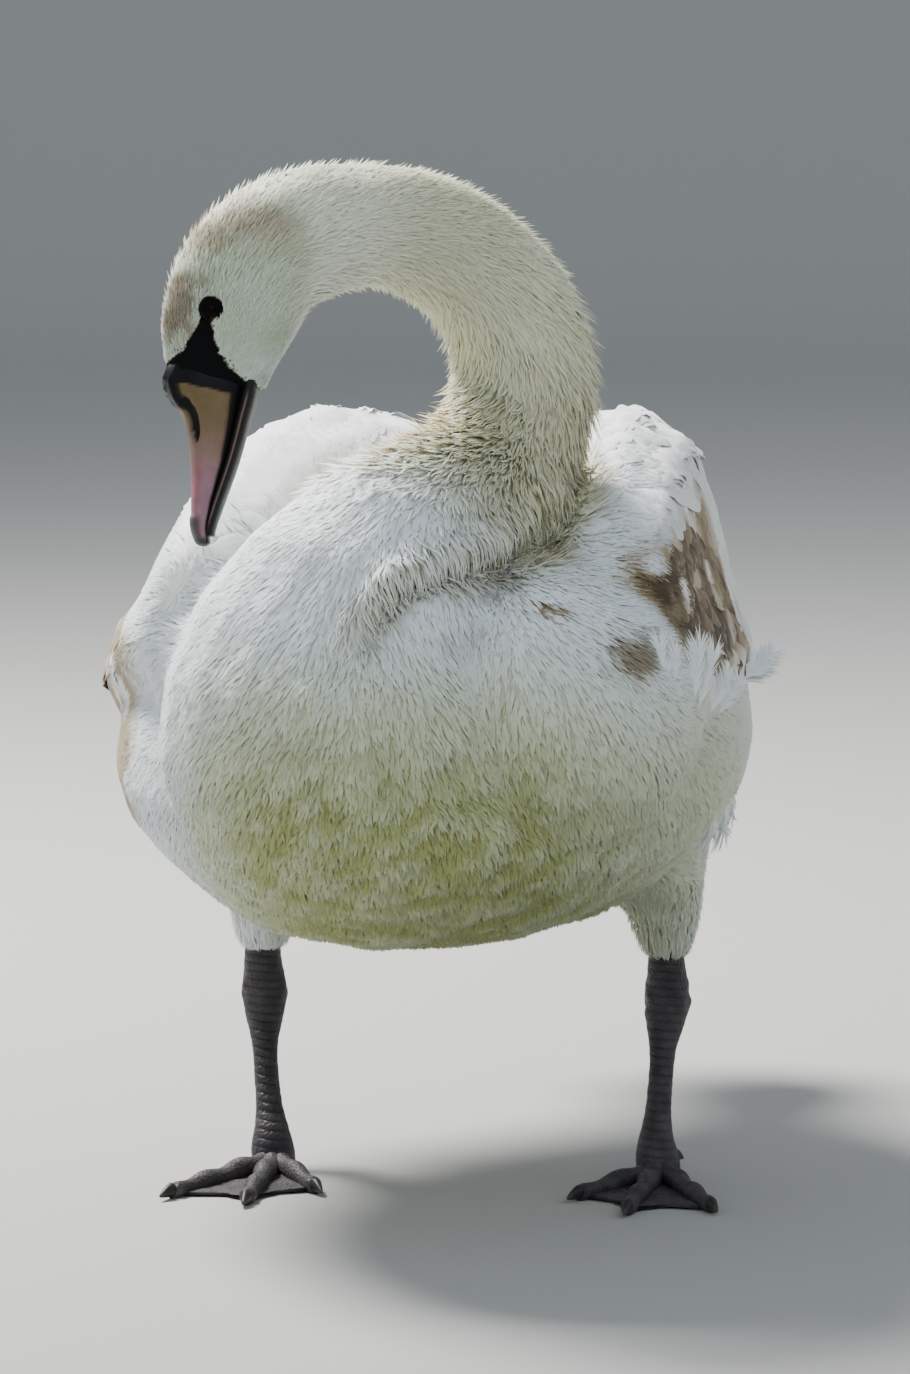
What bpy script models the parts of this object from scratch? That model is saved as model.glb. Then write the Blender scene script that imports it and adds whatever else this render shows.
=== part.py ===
"""A mute swan at life size, standing still with its neck arched over to its right.

Metres, +Z up. The bird faces -Y, so its left side is +X, and it stands on Z = 0. Each part of the
body is one closed solid that reaches out to the tips of the feathers. Parts are lofts: rings of
points carried along a line. Where two forms meet, one is cut by a copy of the other that is
swollen by GAP, so the two lie against each other with a hair's gap and never overlap.
"""

from math import cos, pi, radians, sin

import bmesh
import bpy
import numpy as np
from mathutils import Matrix, Vector

GAP = 0.0003

# Middle of the body, which swings to the bird's right towards the breast. Rows are Y, X.
MIDDLE = ((-0.27, -0.015), (0.00, -0.015), (0.10, -0.011), (0.20, -0.005), (0.46, 0.0))

# Trunk: its outline from the tip of the breast to the root of the tail.
# Each row is Y, half width, top line, bottom line.
TRUNK_OUTLINE = (
    (-0.253, 0.004, 0.220, 0.214),
    (-0.248, 0.034, 0.239, 0.197),
    (-0.233, 0.062, 0.257, 0.180),
    (-0.200, 0.094, 0.284, 0.160),
    (-0.150, 0.124, 0.312, 0.143),
    (-0.080, 0.149, 0.338, 0.133),
    (0.000, 0.160, 0.356, 0.128),
    (0.080, 0.155, 0.360, 0.134),
    (0.160, 0.131, 0.346, 0.157),
    (0.230, 0.096, 0.325, 0.192),
    (0.285, 0.062, 0.304, 0.224),
    (0.315, 0.034, 0.288, 0.248),
    (0.322, 0.006, 0.270, 0.262),
)
TRUNK_SIDES = 26
TRUNK_RINGS = 19
WIDEST = 0.43
RIGHT_BELLY_IN = 0.07

# The swelling of the left breast, where the neck folds down over the shoulder.
BREAST_FOLD_CENTRE = (0.061, -0.137, 0.260)
BREAST_FOLD_RADII = (0.081, 0.094, 0.076)

# Neck and head: one line from inside the breast to the root of the bill.
# Each row is X, Y, Z and the neck's radius there.
NECK_LINE = (
    (-0.018, -0.135, 0.190, 0.078),
    (-0.021, -0.150, 0.235, 0.106),
    (-0.024, -0.153, 0.284, 0.096),
    (-0.014, -0.150, 0.322, 0.070),
    (0.007, -0.130, 0.350, 0.048),
    (0.030, -0.098, 0.375, 0.0385),
    (0.043, -0.080, 0.408, 0.0365),
    (0.041, -0.085, 0.443, 0.0355),
    (0.023, -0.105, 0.4755, 0.0342),
    (-0.004, -0.140, 0.4955, 0.0330),
    (-0.029, -0.175, 0.4995, 0.0315),
)
NECK_SIDES = 20
NECK_CUTS = (0.0, 0.36, 0.57, 0.785, 1.0)
NECK_RINGS = (8, 8, 7, 7)

HAIR = 0.0006

# The head goes on from the neck. Each row is X, Y, Z, the depth to the crown, the depth to the
# throat, and half the width.
HEAD_LINE = (
    (-0.029, -0.175, 0.4995, 0.0315, 0.0315, 0.0310),
    (-0.049, -0.200, 0.4945, 0.0325, 0.0315, 0.0290),
    (-0.065, -0.215, 0.4835, 0.0340, 0.0305, 0.0270),
    (-0.075, -0.225, 0.4655, 0.0335, 0.0325, 0.0260),
    (-0.0815, -0.232, 0.4445, 0.0300, 0.0290, 0.0225),
    (-0.0845, -0.236, 0.4255, 0.0215, 0.0225, 0.0170),
)
HEAD_LEFT = (0.10, -0.99, 0.0)
HEAD_SIDES = 20
HEAD_RINGS = 14

# Bill: from the lores to the nail, in its own frame of distance forward, height and width.
# Each row is the share of the length, the culmen, the cutting edge, the chin, and half the width.
BILL_LENGTH = 0.078
BILL_TURN = (-0.025, -0.14, -0.99)
BILL_OUTLINE = (
    (0.00, 0.0228, -0.0175, -0.0218, 0.0167),
    (0.10, 0.0196, -0.0160, -0.0205, 0.0162),
    (0.20, 0.0145, -0.0143, -0.0186, 0.0157),
    (0.36, 0.0110, -0.0117, -0.0160, 0.0150),
    (0.50, 0.0095, -0.0090, -0.0133, 0.0146),
    (0.64, 0.0086, -0.0058, -0.0100, 0.0142),
    (0.78, 0.0081, -0.0028, -0.0066, 0.0132),
    (0.90, 0.0072, -0.0012, -0.0040, 0.0108),
    (0.97, 0.0050, -0.0018, -0.0034, 0.0070),
)
BILL_UPPER_SIDES = 18
BILL_LOWER_SIDES = 14
BILL_SQUARE = 0.88
LOWER_BILL_WIDTH = 0.80
LOWER_BILL_REACH = 0.93
LOWER_BILL_TUCK = 0.0035
BILL_TIP = 0.0018
BILL_TIP_SIZE = 0.45

EYE_RADIUS = 0.0066
EYE_ALONG = 0.75
EYE_UP = 0.0085
EYE_OUT = 0.0187

# Wing: the folded arm with its coverts and secondaries. Each row is Y, the size of the section
# as a share of the full one, the section's centre (distance from the body's middle, and Z), and
# how far the lower edge of the right wing hangs out.
WING_LINE = (
    (-0.150, 0.10, 0.116, 0.290, 0.000),
    (-0.140, 0.32, 0.107, 0.287, 0.000),
    (-0.113, 0.54, 0.095, 0.282, 0.000),
    (-0.065, 0.74, 0.080, 0.277, 0.020),
    (-0.005, 0.92, 0.065, 0.272, 0.038),
    (0.060, 1.00, 0.056, 0.269, 0.047),
    (0.110, 0.99, 0.052, 0.268, 0.047),
    (0.180, 0.87, 0.045, 0.270, 0.039),
    (0.240, 0.66, 0.038, 0.282, 0.022),
    (0.285, 0.40, 0.031, 0.303, 0.004),
    (0.300, 0.18, 0.029, 0.312, 0.000),
)
# The full section: distance from the centre at each angle above the horizontal.
WING_SECTION = (
    (-40, 0.060),
    (-28, 0.080),
    (-14, 0.097),
    (4, 0.100),
    (22, 0.096),
    (40, 0.101),
    (56, 0.118),
    (70, 0.136),
    (84, 0.132),
    (100, 0.122),
    (112, 0.107),
    (122, 0.082),
)
WING_TURN = {1: -5.0, -1: 5.0}
# The right wing lies closer in, hangs lowest this far below the level, and its inner side sinks
# by this share towards the tail.
RIGHT_WING_IN = 0.008
RIGHT_WING_SAG = 45.0
RIGHT_WING_SLOPE = 0.10
WING_HOLLOW = 0.55
WING_GAP = 0.0012
WING_SIDES = 22
WING_RINGS = 15

# Folded primaries: Y, distance from the body's middle, Z of the middle of the bundle, half its
# height and half its thickness.
PRIMARIES_LINE = (
    (0.205, 0.1150, 0.277, 0.015, 0.0055),
    (0.225, 0.1050, 0.278, 0.023, 0.0075),
    (0.260, 0.0835, 0.279, 0.024, 0.0075),
    (0.310, 0.0580, 0.280, 0.021, 0.0060),
    (0.370, 0.0330, 0.280, 0.013, 0.0040),
    (0.402, 0.0190, 0.281, 0.007, 0.0025),
)
PRIMARIES_SIDES = 12
PRIMARIES_RINGS = 9
PRIMARIES_LEAN = 20.0

# Tail: Y, half width, height of the middle line, half thickness.
TAIL_LINE = (
    (0.255, 0.040, 0.256, 0.022),
    (0.300, 0.060, 0.255, 0.016),
    (0.350, 0.068, 0.250, 0.0095),
    (0.400, 0.056, 0.243, 0.0050),
    (0.440, 0.030, 0.235, 0.0028),
    (0.455, 0.010, 0.231, 0.0018),
)
TAIL_SIDES = 14
TAIL_RINGS = 9
TAIL_ROOF = 0.12

# Legs. Rows are X, Y, Z, half width and half depth.
THIGH_LINE = (
    (0.086, 0.004, 0.205, 0.046, 0.074),
    (0.096, 0.020, 0.170, 0.031, 0.054),
    (0.103, 0.035, 0.145, 0.0205, 0.032),
    (0.106, 0.043, 0.128, 0.0160, 0.020),
    (0.1065, 0.047, 0.113, 0.0118, 0.013),
)
SHANK_LINE = (
    (0.1065, 0.0472, 0.1127, 0.0092, 0.0100),
    (0.1065, 0.051, 0.1020, 0.0104, 0.0115),
    (0.1065, 0.055, 0.0900, 0.0120, 0.0140),
    (0.1060, 0.052, 0.0780, 0.0102, 0.0115),
    (0.1050, 0.044, 0.0640, 0.0070, 0.0085),
    (0.1035, 0.035, 0.0450, 0.0064, 0.0078),
    (0.1020, 0.028, 0.0310, 0.0072, 0.0086),
    (0.1010, 0.023, 0.0215, 0.0088, 0.0100),
)
ANKLE_SWAY = 0.006
SWAY_HEIGHT = 0.18
LEG_SIDES = 12
THIGH_RINGS = 7
SHANK_RINGS = 12

# Foot: toes spread from the hub. Rows are the angle outwards from straight ahead in degrees,
# the length without the claw, and the number of joints that swell along it.
FOOT_HUB = (0.1010, 0.020, 0.0)
HUB_RADIUS = 0.0115
HUB_TOP = 0.0212
# The hub's height and radius, from below the floor up to the leg.
HUB_LINE = ((-0.001, HUB_RADIUS), (0.010, HUB_RADIUS), (0.016, 0.0105), (HUB_TOP, 0.0092))
HUB_LEAN = 0.003
HUB_DEEP = 1.1
TOE_IN = 2.0
TOES = ((-24.0, 0.074, 2), (0.0, 0.104, 3), (24.0, 0.098, 3))
TOE_START = 0.002
TOE_RADIUS = 0.0062
TOE_TIP_RADIUS = 0.0040
TOE_KNUCKLE = 0.10
TOE_SUNK = 0.86
TOE_SIDES = 8
HIND_TOE_START = 0.006
HIND_TOE_LENGTH = 0.018
HIND_TOE_HEIGHT = 0.0175
HIND_TOE_TURN = 168.0
HIND_TOE_DROP = 0.004
HIND_TOE_TAPER = 0.25
WEB_REACH = 0.96
WEB_FLOOR = 0.0006
WEB_THICK = 0.0022
WEB_SCALLOP = 0.10
WEB_STEPS = 3
CLAW_LENGTH = 0.011
CLAW_HEIGHT = 0.0046
CLAW_DROP = 0.0018
CLAW_SIDES = 7

MATERIALS = {
    "white_feathers": ((0.86, 0.86, 0.83), 0.75),
    "brown_feathers": ((0.42, 0.35, 0.27), 0.75),
    "bill_horn": ((0.52, 0.34, 0.31), 0.42),
    "black_skin": ((0.02, 0.02, 0.022), 0.45),
    "eye": ((0.02, 0.012, 0.01), 0.05),
    "leg_skin": ((0.10, 0.095, 0.105), 0.55),
    "claw_horn": ((0.045, 0.042, 0.04), 0.4),
}


def clear_scene():
    for obj in list(bpy.data.objects):
        bpy.data.objects.remove(obj)


def material(name):
    """The Principled material of that name, made once."""
    found = bpy.data.materials.get(name)
    if found:
        return found
    colour, roughness = MATERIALS[name]
    made = bpy.data.materials.new(name)
    made.use_nodes = True
    shader = made.node_tree.nodes["Principled BSDF"]
    shader.inputs["Base Color"].default_value = (*colour, 1)
    shader.inputs["Roughness"].default_value = roughness
    shader.inputs["Metallic"].default_value = 0.0
    made.diffuse_color = (*colour, 1)
    return made


def along(rows, at):
    """Rows of values, read smoothly at each place in at. The first column is the place. Between
    two rows lies a cubic with the slopes that the neighbouring rows give."""
    table = np.asarray(rows, float)
    place, value = table[:, 0], table[:, 1:]
    slope = np.gradient(value, place, axis=0)
    at = np.atleast_1d(np.asarray(at, float))
    i = np.clip(np.searchsorted(place, at, "right") - 1, 0, len(place) - 2)
    step = (place[i + 1] - place[i])[:, None]
    t = (at - place[i])[:, None] / step
    return (
        (2 * t**3 - 3 * t**2 + 1) * value[i]
        + (t**3 - 2 * t**2 + t) * step * slope[i]
        + (3 * t**2 - 2 * t**3) * value[i + 1]
        + (t**3 - t**2) * step * slope[i + 1]
    )


def by_distance(rows, columns=3):
    """The same rows, with the share of the distance through their first columns put in front."""
    table = np.asarray(rows, float)
    steps = np.linalg.norm(np.diff(table[:, :columns], axis=0), axis=1)
    share = np.concatenate([[0.0], np.cumsum(steps)]) / steps.sum()
    return np.column_stack([share, table])


def middle(y):
    """The X of the body's middle at that Y."""
    return along(MIDDLE, y)[:, 0]


def unit(vectors):
    return vectors / np.linalg.norm(vectors, axis=-1, keepdims=True)


def smooth(value, low, high):
    """0 at low, 1 at high, with a soft step between them."""
    t = np.clip((value - low) / (high - low), 0, 1)
    return t * t * (3 - 2 * t)


def loft(name, rings, finish):
    """One closed solid through rings of points, each end closed by a fan about its middle."""
    bm = bmesh.new()
    loops = [[bm.verts.new(point) for point in ring] for ring in rings]
    for first, second in zip(loops, loops[1:]):
        for j in range(len(first)):
            bm.faces.new((first[j - 1], first[j], second[j], second[j - 1]))
    caps = [bm.faces.new(loops[0]), bm.faces.new(loops[-1])]
    bmesh.ops.poke(bm, faces=caps)
    bmesh.ops.recalc_face_normals(bm, faces=bm.faces)
    mesh = bpy.data.meshes.new(name)
    bm.to_mesh(mesh)
    bm.free()
    mesh.shade_smooth()
    mesh.materials.append(material(finish))
    obj = bpy.data.objects.new(name, mesh)
    bpy.context.scene.collection.objects.link(obj)
    return obj


def helper_copy(obj, swell):
    """A hidden copy of the solid, swollen along its normals, for use in a Boolean."""
    tool = obj.copy()
    tool.name = f"{obj.name}_tool"
    tool.hide_render = True
    tool.display_type = "WIRE"
    bpy.context.scene.collection.objects.link(tool)
    if swell:
        grow = tool.modifiers.new("swell", "DISPLACE")
        grow.mid_level = 0.0
        grow.strength = swell
    return tool


def boolean(obj, tool, operation):
    modifier = obj.modifiers.new(f"{operation}_{tool.name}", "BOOLEAN")
    modifier.operation = operation
    modifier.solver = "EXACT"
    modifier.object = tool


def fit_against(obj, *neighbours, gap=GAP):
    """Cuts from the solid what its neighbours fill, with a gap between them."""
    for neighbour in neighbours:
        boolean(obj, helper_copy(neighbour, gap), "DIFFERENCE")


def hide_tool(obj):
    obj.hide_render = True
    obj.display_type = "WIRE"
    return obj


def mirrored(points, side):
    """Points with X turned to that side of the body: +1 is the bird's left."""
    return points * np.array([side, 1.0, 1.0])


def side_name(side):
    return "left" if side > 0 else "right"


# ---------------------------------------------------------------- trunk, wings and tail


def trunk_ring(y, half_width, top, bottom):
    """An oval in the plane of that Y, with the widest level WIDEST of the way up, and drawn in a
    little low on the right side."""
    angle = np.linspace(0, 2 * pi, TRUNK_SIDES, endpoint=False)
    level = bottom + WIDEST * (top - bottom)
    rise = np.where(np.sin(angle) > 0, top - level, level - bottom)
    low_right = (np.cos(angle) < 0) & (np.sin(angle) < 0)
    reach = half_width * (1 - RIGHT_BELLY_IN * low_right * np.sin(2 * angle) ** 2)
    x = middle(y) + reach * np.cos(angle)
    return np.column_stack([x, np.full(TRUNK_SIDES, y), level + rise * np.sin(angle)])


def make_trunk(neck_root):
    """The egg of the body, with the left breast and the root of the neck grown into it."""
    rows = along(by_distance(TRUNK_OUTLINE), np.linspace(0, 1, TRUNK_RINGS))
    trunk = loft("trunk", [trunk_ring(*row) for row in rows], "white_feathers")
    boolean(trunk, make_breast_fold(), "UNION")
    boolean(trunk, neck_root, "UNION")
    return trunk


def make_breast_fold():
    """An egg that swells the left breast up to the fold of the neck."""
    bpy.ops.mesh.primitive_uv_sphere_add(segments=20, ring_count=12, radius=1.0)
    egg = bpy.context.active_object
    egg.name = "breast_fold"
    egg.data.transform(Matrix.Diagonal((*BREAST_FOLD_RADII, 1.0)))
    egg.location = BREAST_FOLD_CENTRE
    return hide_tool(egg)


def wing_ring(y, size, out, z, droop, side):
    """A crescent about its centre. The outer arc follows WING_SECTION, and the inner arc is the
    same arc drawn in, least at the two edges, so that both meet there in a round rim."""
    sweep = np.linspace(0, 1, WING_SIDES // 2 + 1)
    angle = WING_SECTION[0][0] + sweep * (WING_SECTION[-1][0] - WING_SECTION[0][0])
    radius = size * along(WING_SECTION, angle)[:, 0]
    turned = np.radians(angle + WING_TURN[side])
    if side < 0:
        radius = radius + droop * np.clip(np.cos(turned + radians(RIGHT_WING_SAG)), 0, 1) ** 2
        sunk = smooth(y, -0.02, 0.10) * smooth(angle, 50, 105)
        radius = radius * (1 - RIGHT_WING_SLOPE * sunk)
        out = out - RIGHT_WING_IN
    inner = radius * (1 - WING_HOLLOW * np.sqrt(1 - (2 * sweep - 1) ** 2))
    turn = np.concatenate([turned, turned[-2:0:-1]])
    reach = np.concatenate([radius, inner[-2:0:-1]])
    x = middle(y) + side * (out + reach * np.cos(turn))
    return np.column_stack([x, np.full(len(turn), y), z + reach * np.sin(turn)])


def make_wing(side, *neighbours):
    """The folded wing, from the wrist back to the ends of the secondaries over the rump."""
    rows = along(by_distance(WING_LINE, 2), np.linspace(0, 1, WING_RINGS))
    wing = loft(f"wing_{side_name(side)}", [wing_ring(*r, side) for r in rows], "white_feathers")
    fit_against(wing, *neighbours, gap=WING_GAP)


def oval_ring(centre, across, over, sides, power=1.0):
    """Points about the centre: an oval with the two half axes given as vectors."""
    angle = np.linspace(0, 2 * pi, sides, endpoint=False)
    c, s = np.cos(angle), np.sin(angle)
    c = np.sign(c) * np.abs(c) ** power
    s = np.sign(s) * np.abs(s) ** power
    return np.asarray(centre) + np.outer(c, across) + np.outer(s, over)


def make_primaries(side):
    """The bundle of folded wing tips, which lies along the rump to its point over the tail."""
    stations = np.linspace(PRIMARIES_LINE[0][0], PRIMARIES_LINE[-1][0], PRIMARIES_RINGS)
    turn = radians(PRIMARIES_LEAN)
    down = np.array([side * sin(turn), 0.0, -cos(turn)])
    out = np.array([side * cos(turn), 0.0, sin(turn)])
    rings = []
    for y, (x, z, height, thick) in zip(stations, along(PRIMARIES_LINE, stations)):
        centre = (middle(y)[0] + side * x, y, z)
        rings.append(oval_ring(centre, down * height, out * thick, PRIMARIES_SIDES))
    return loft(f"primaries_{side_name(side)}", rings, "brown_feathers")


def make_tail(trunk):
    """The fan of tail feathers: a flat wedge that is roofed a little and ends in a blunt point."""
    stations = np.linspace(TAIL_LINE[0][0], TAIL_LINE[-1][0], TAIL_RINGS)
    rings = []
    for y, (width, z, thick) in zip(stations, along(TAIL_LINE, stations)):
        ring = oval_ring((middle(y)[0], y, z), (width, 0, 0), (0, 0, thick), TAIL_SIDES)
        ring[:, 2] -= TAIL_ROOF * np.abs(ring[:, 0] - middle(y)[0])
        rings.append(ring)
    tail = loft("tail", rings, "white_feathers")
    fit_against(tail, trunk)
    return tail


# ---------------------------------------------------------------- neck, head, bill and eyes


def neck_and_head():
    """The whole line from the breast to the bill, in rows X, Y, Z, depth to the crown, depth to the
    throat and half width, and the share of it that the neck takes up."""
    rows = [(x, y, z, r, r, r) for x, y, z, r in NECK_LINE] + list(HEAD_LINE[1:])
    table = by_distance(rows)
    return table, table[len(NECK_LINE) - 1, 0]


def place_along(share):
    """At each share of the head, or at a negative share of the neck back from it: the point, the
    ring's three sizes, and the axes forward, to the head's left and up to its crown."""
    table, neck_end = neck_and_head()
    share = np.atleast_1d(np.asarray(share, float))
    at = np.where(share < 0, neck_end * (1 + share), neck_end + (1 - neck_end) * share)
    here = along(table, at)
    step = 1e-3
    ahead = along(table, np.minimum(at + step, 1))
    behind = along(table, np.maximum(at - step, 0))
    forward = unit(ahead[:, :3] - behind[:, :3])
    left = np.asarray(HEAD_LEFT) - (forward @ np.asarray(HEAD_LEFT))[:, None] * forward
    left = unit(left)
    return here[:, :3], here[:, 3:], forward, left, np.cross(forward, left)


def neck_rings(share, sides):
    """Rings across the line: ovals with their own depths above and below it."""
    angle = np.linspace(0, 2 * pi, sides, endpoint=False)
    rings = []
    for point, (crown, throat, half_width), _, left, up in zip(*place_along(share)):
        depth = np.where(np.sin(angle) > 0, crown, throat) * np.sin(angle)
        rings.append(point + np.outer(half_width * np.cos(angle), left) + np.outer(depth, up))
    return rings


def make_neck():
    """The root of the neck, which the trunk takes in, and the neck in three lengths, each a hair
    beyond the one before."""
    names = ("neck_root", "neck_lower", "neck_middle", "neck_upper")
    starts = np.array(NECK_CUTS[:-1]) + np.array([0.0, HAIR, HAIR, HAIR])
    ends = np.array(NECK_CUTS[1:]) - HAIR
    lengths = []
    for name, start, end, count in zip(names, starts, ends, NECK_RINGS):
        rings = neck_rings(np.linspace(start, end, count) - 1, NECK_SIDES)
        lengths.append(loft(name, rings, "white_feathers"))
    return hide_tool(lengths[0]), *lengths[1:3]


def make_head():
    return loft("head", neck_rings(np.linspace(HAIR, 1, HEAD_RINGS), HEAD_SIDES), "white_feathers")


def bill_frame():
    """Where the bill starts, and its axes: forward, left and up."""
    point = place_along(1.0)[0][0]
    forward = unit(np.asarray(BILL_TURN))
    left = np.asarray(HEAD_LEFT) - (forward @ np.asarray(HEAD_LEFT)) * forward
    left = unit(left)
    return point + forward * GAP, forward, left, np.cross(forward, left)


def bill_ring(share, top, bottom, half_width, sides, square):
    """One section of the bill: a ridge above and a flat edge below."""
    start, forward, left, up = bill_frame()
    centre = start + forward * share * BILL_LENGTH + up * (top + bottom) / 2
    return oval_ring(centre, left * half_width, up * (top - bottom) / 2, sides, square)


def make_bill(head):
    share = np.concatenate([np.linspace(0, 0.9, 12), [0.94, 0.97]])
    rows = along(BILL_OUTLINE, share)
    upper = [
        bill_ring(s, culmen, edge, width, BILL_UPPER_SIDES, BILL_SQUARE)
        for s, (culmen, edge, _, width) in zip(share, rows)
    ]
    tip = upper[-1].mean(axis=0) + (upper[-1] - upper[-1].mean(axis=0)) * BILL_TIP_SIZE
    upper.append(tip + bill_frame()[1] * BILL_TIP)
    share = np.linspace(0, LOWER_BILL_REACH, 9)
    rows = along(BILL_OUTLINE, share)
    lower = [
        bill_ring(
            s, edge + LOWER_BILL_TUCK, chin, width * LOWER_BILL_WIDTH, BILL_LOWER_SIDES, BILL_SQUARE
        )
        for s, (_, edge, chin, width) in zip(share, rows)
    ]
    upper = loft("bill_upper", upper, "bill_horn")
    lower = loft("bill_lower", lower, "black_skin")
    fit_against(upper, head)
    fit_against(lower, upper, head)


def make_eyes(head):
    point, _, _, left, up = (values[0] for values in place_along(EYE_ALONG))
    for side in (1, -1):
        centre = point + left * side * EYE_OUT + up * EYE_UP
        bpy.ops.mesh.primitive_uv_sphere_add(segments=12, ring_count=8, radius=EYE_RADIUS)
        eye = bpy.context.active_object
        eye.name = f"eye_{side_name(side)}"
        eye.data.transform(Vector(left).to_track_quat("Z", "Y").to_matrix().to_4x4())
        eye.location = centre
        eye.data.materials.append(material("eye"))
        eye.data.shade_smooth()
        fit_against(head, eye)


# ---------------------------------------------------------------- legs and feet


def limb(name, rows, rings, side, finish):
    """A limb of level ovals down a line of rows X, Y, Z, half width, half depth. The ankles lean
    a little to the bird's right, and the rest of the leg eases back from there."""
    made = []
    for x, y, z, wide, deep in along(by_distance(rows), np.linspace(0, 1, rings)):
        sway = ANKLE_SWAY * sin(pi * min(max(z, 0.0) / SWAY_HEIGHT, 1.0))
        made.append(oval_ring((side * x - sway, y, z), (wide, 0, 0), (0, deep, 0), LEG_SIDES))
    return loft(name, made, finish)


def make_leg(side, trunk):
    """The feathered thigh, and the bare shank with the ankle joint, down to the foot."""
    thigh = limb(f"thigh_{side_name(side)}", THIGH_LINE, THIGH_RINGS, side, "white_feathers")
    fit_against(thigh, trunk)
    limb(f"shank_{side_name(side)}", SHANK_LINE, SHANK_RINGS, side, "leg_skin")


def toe_direction(angle, side):
    turn = radians(angle - TOE_IN)
    return np.array([side * sin(turn), -cos(turn), 0.0])


def toe_rings(start, direction, length, joints):
    """A toe that narrows to its claw, with a swelling at each joint, lying on the floor."""
    across = np.array([-direction[1], direction[0], 0.0])
    rings = []
    for share in np.linspace(0, 1, 2 * joints + 3):
        radius = TOE_RADIUS + (TOE_TIP_RADIUS - TOE_RADIUS) * share
        radius *= 1 + TOE_KNUCKLE * cos(2 * pi * share * joints)
        centre = start + direction * length * share + np.array([0, 0, radius * TOE_SUNK])
        rings.append(oval_ring(centre, across * radius, np.array([0, 0, radius]), TOE_SIDES))
    return rings


def web_outline(hub, side):
    """The webs' edge seen from above: from toe to toe it sags back towards the hub."""
    tips = [hub + toe_direction(a, side) * (length * WEB_REACH) for a, length, _ in TOES]
    outline = [hub + toe_direction(180, side) * HUB_RADIUS * 0.2]
    for first, second in zip(tips, tips[1:]):
        for share in np.linspace(0, 1, WEB_STEPS, endpoint=False):
            edge = first + (second - first) * share
            sag = 1 - WEB_SCALLOP * 4 * share * (1 - share)
            outline.append(hub + (edge - hub) * sag)
    return outline + [tips[-1]]


def make_web(name, hub, side):
    bm = bmesh.new()
    base = bm.faces.new([bm.verts.new((p[0], p[1], WEB_FLOOR)) for p in web_outline(hub, side)])
    grown = bmesh.ops.extrude_face_region(bm, geom=[base])
    tops = [v for v in grown["geom"] if isinstance(v, bmesh.types.BMVert)]
    bmesh.ops.translate(bm, verts=tops, vec=(0, 0, WEB_THICK))
    bmesh.ops.recalc_face_normals(bm, faces=bm.faces)
    mesh = bpy.data.meshes.new(name)
    bm.to_mesh(mesh)
    bm.free()
    mesh.materials.append(material("leg_skin"))
    obj = bpy.data.objects.new(name, mesh)
    bpy.context.scene.collection.objects.link(obj)
    return obj


def make_floor_cutter(name):
    """A block under the floor. What it takes off leaves the sole flat at Z = 0."""
    bpy.ops.mesh.primitive_cube_add(size=1.0)
    block = bpy.context.active_object
    block.name = name
    block.data.transform(Matrix.Translation((0, 0, -0.5)))
    return hide_tool(block)


def make_claw(name, start, direction, radius, drop):
    """A blunt claw that narrows and bends down to the floor."""
    across = np.array([-direction[1], direction[0], 0.0])
    rings = []
    for share in np.linspace(0, 1, 4):
        size = radius * (0.92 * (1 - share) ** 0.7 + 0.16)
        centre = start + direction * CLAW_LENGTH * share - np.array([0, 0, drop * share**1.5])
        rings.append(oval_ring(centre, across * size * 0.8, np.array([0, 0, size]), CLAW_SIDES))
    return loft(name, rings, "claw_horn")


def make_foot(side, floor_cutter):
    word = side_name(side)
    hub = mirrored(np.array(FOOT_HUB), side)
    foot = make_web(f"foot_{word}", hub, side)
    rings = [
        oval_ring(
            (hub[0], hub[1] + HUB_LEAN * z / HUB_TOP, z), (r, 0, 0), (0, r * HUB_DEEP, 0), LEG_SIDES
        )
        for z, r in HUB_LINE
    ]
    boolean(foot, hide_tool(loft(f"hub_{word}", rings, "leg_skin")), "UNION")
    for number, (angle, length, joints) in enumerate(TOES, 1):
        direction = toe_direction(angle, side)
        start = hub + direction * TOE_START
        toe = loft(f"toe_{word}_{number}", toe_rings(start, direction, length, joints), "leg_skin")
        boolean(foot, hide_tool(toe), "UNION")
        tip = start + direction * (length + GAP) + np.array([0, 0, CLAW_HEIGHT])
        make_claw(f"claw_{word}_{number}", tip, direction, TOE_TIP_RADIUS, CLAW_DROP)
    back = toe_direction(HIND_TOE_TURN, side)
    start = hub + back * HIND_TOE_START + np.array([0, 0, HIND_TOE_HEIGHT - TOE_TIP_RADIUS])
    across = np.array([-back[1], back[0], 0.0])
    rings = [
        oval_ring(
            start + back * HIND_TOE_LENGTH * s - np.array([0, 0, HIND_TOE_DROP * s]),
            across * TOE_TIP_RADIUS * (1 - HIND_TOE_TAPER * s),
            np.array([0, 0, TOE_TIP_RADIUS * (1 - HIND_TOE_TAPER * s)]),
            CLAW_SIDES,
        )
        for s in np.linspace(0, 1, 5)
    ]
    boolean(foot, hide_tool(loft(f"hind_toe_{word}", rings, "leg_skin")), "UNION")
    boolean(foot, floor_cutter, "DIFFERENCE")
    tip = start + back * (HIND_TOE_LENGTH + GAP) - np.array([0, 0, HIND_TOE_DROP])
    radius = TOE_TIP_RADIUS * (1 - HIND_TOE_TAPER)
    make_claw(f"claw_{word}_hind", tip, back, radius, HIND_TOE_DROP)


# ---------------------------------------------------------------- the whole bird


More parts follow.
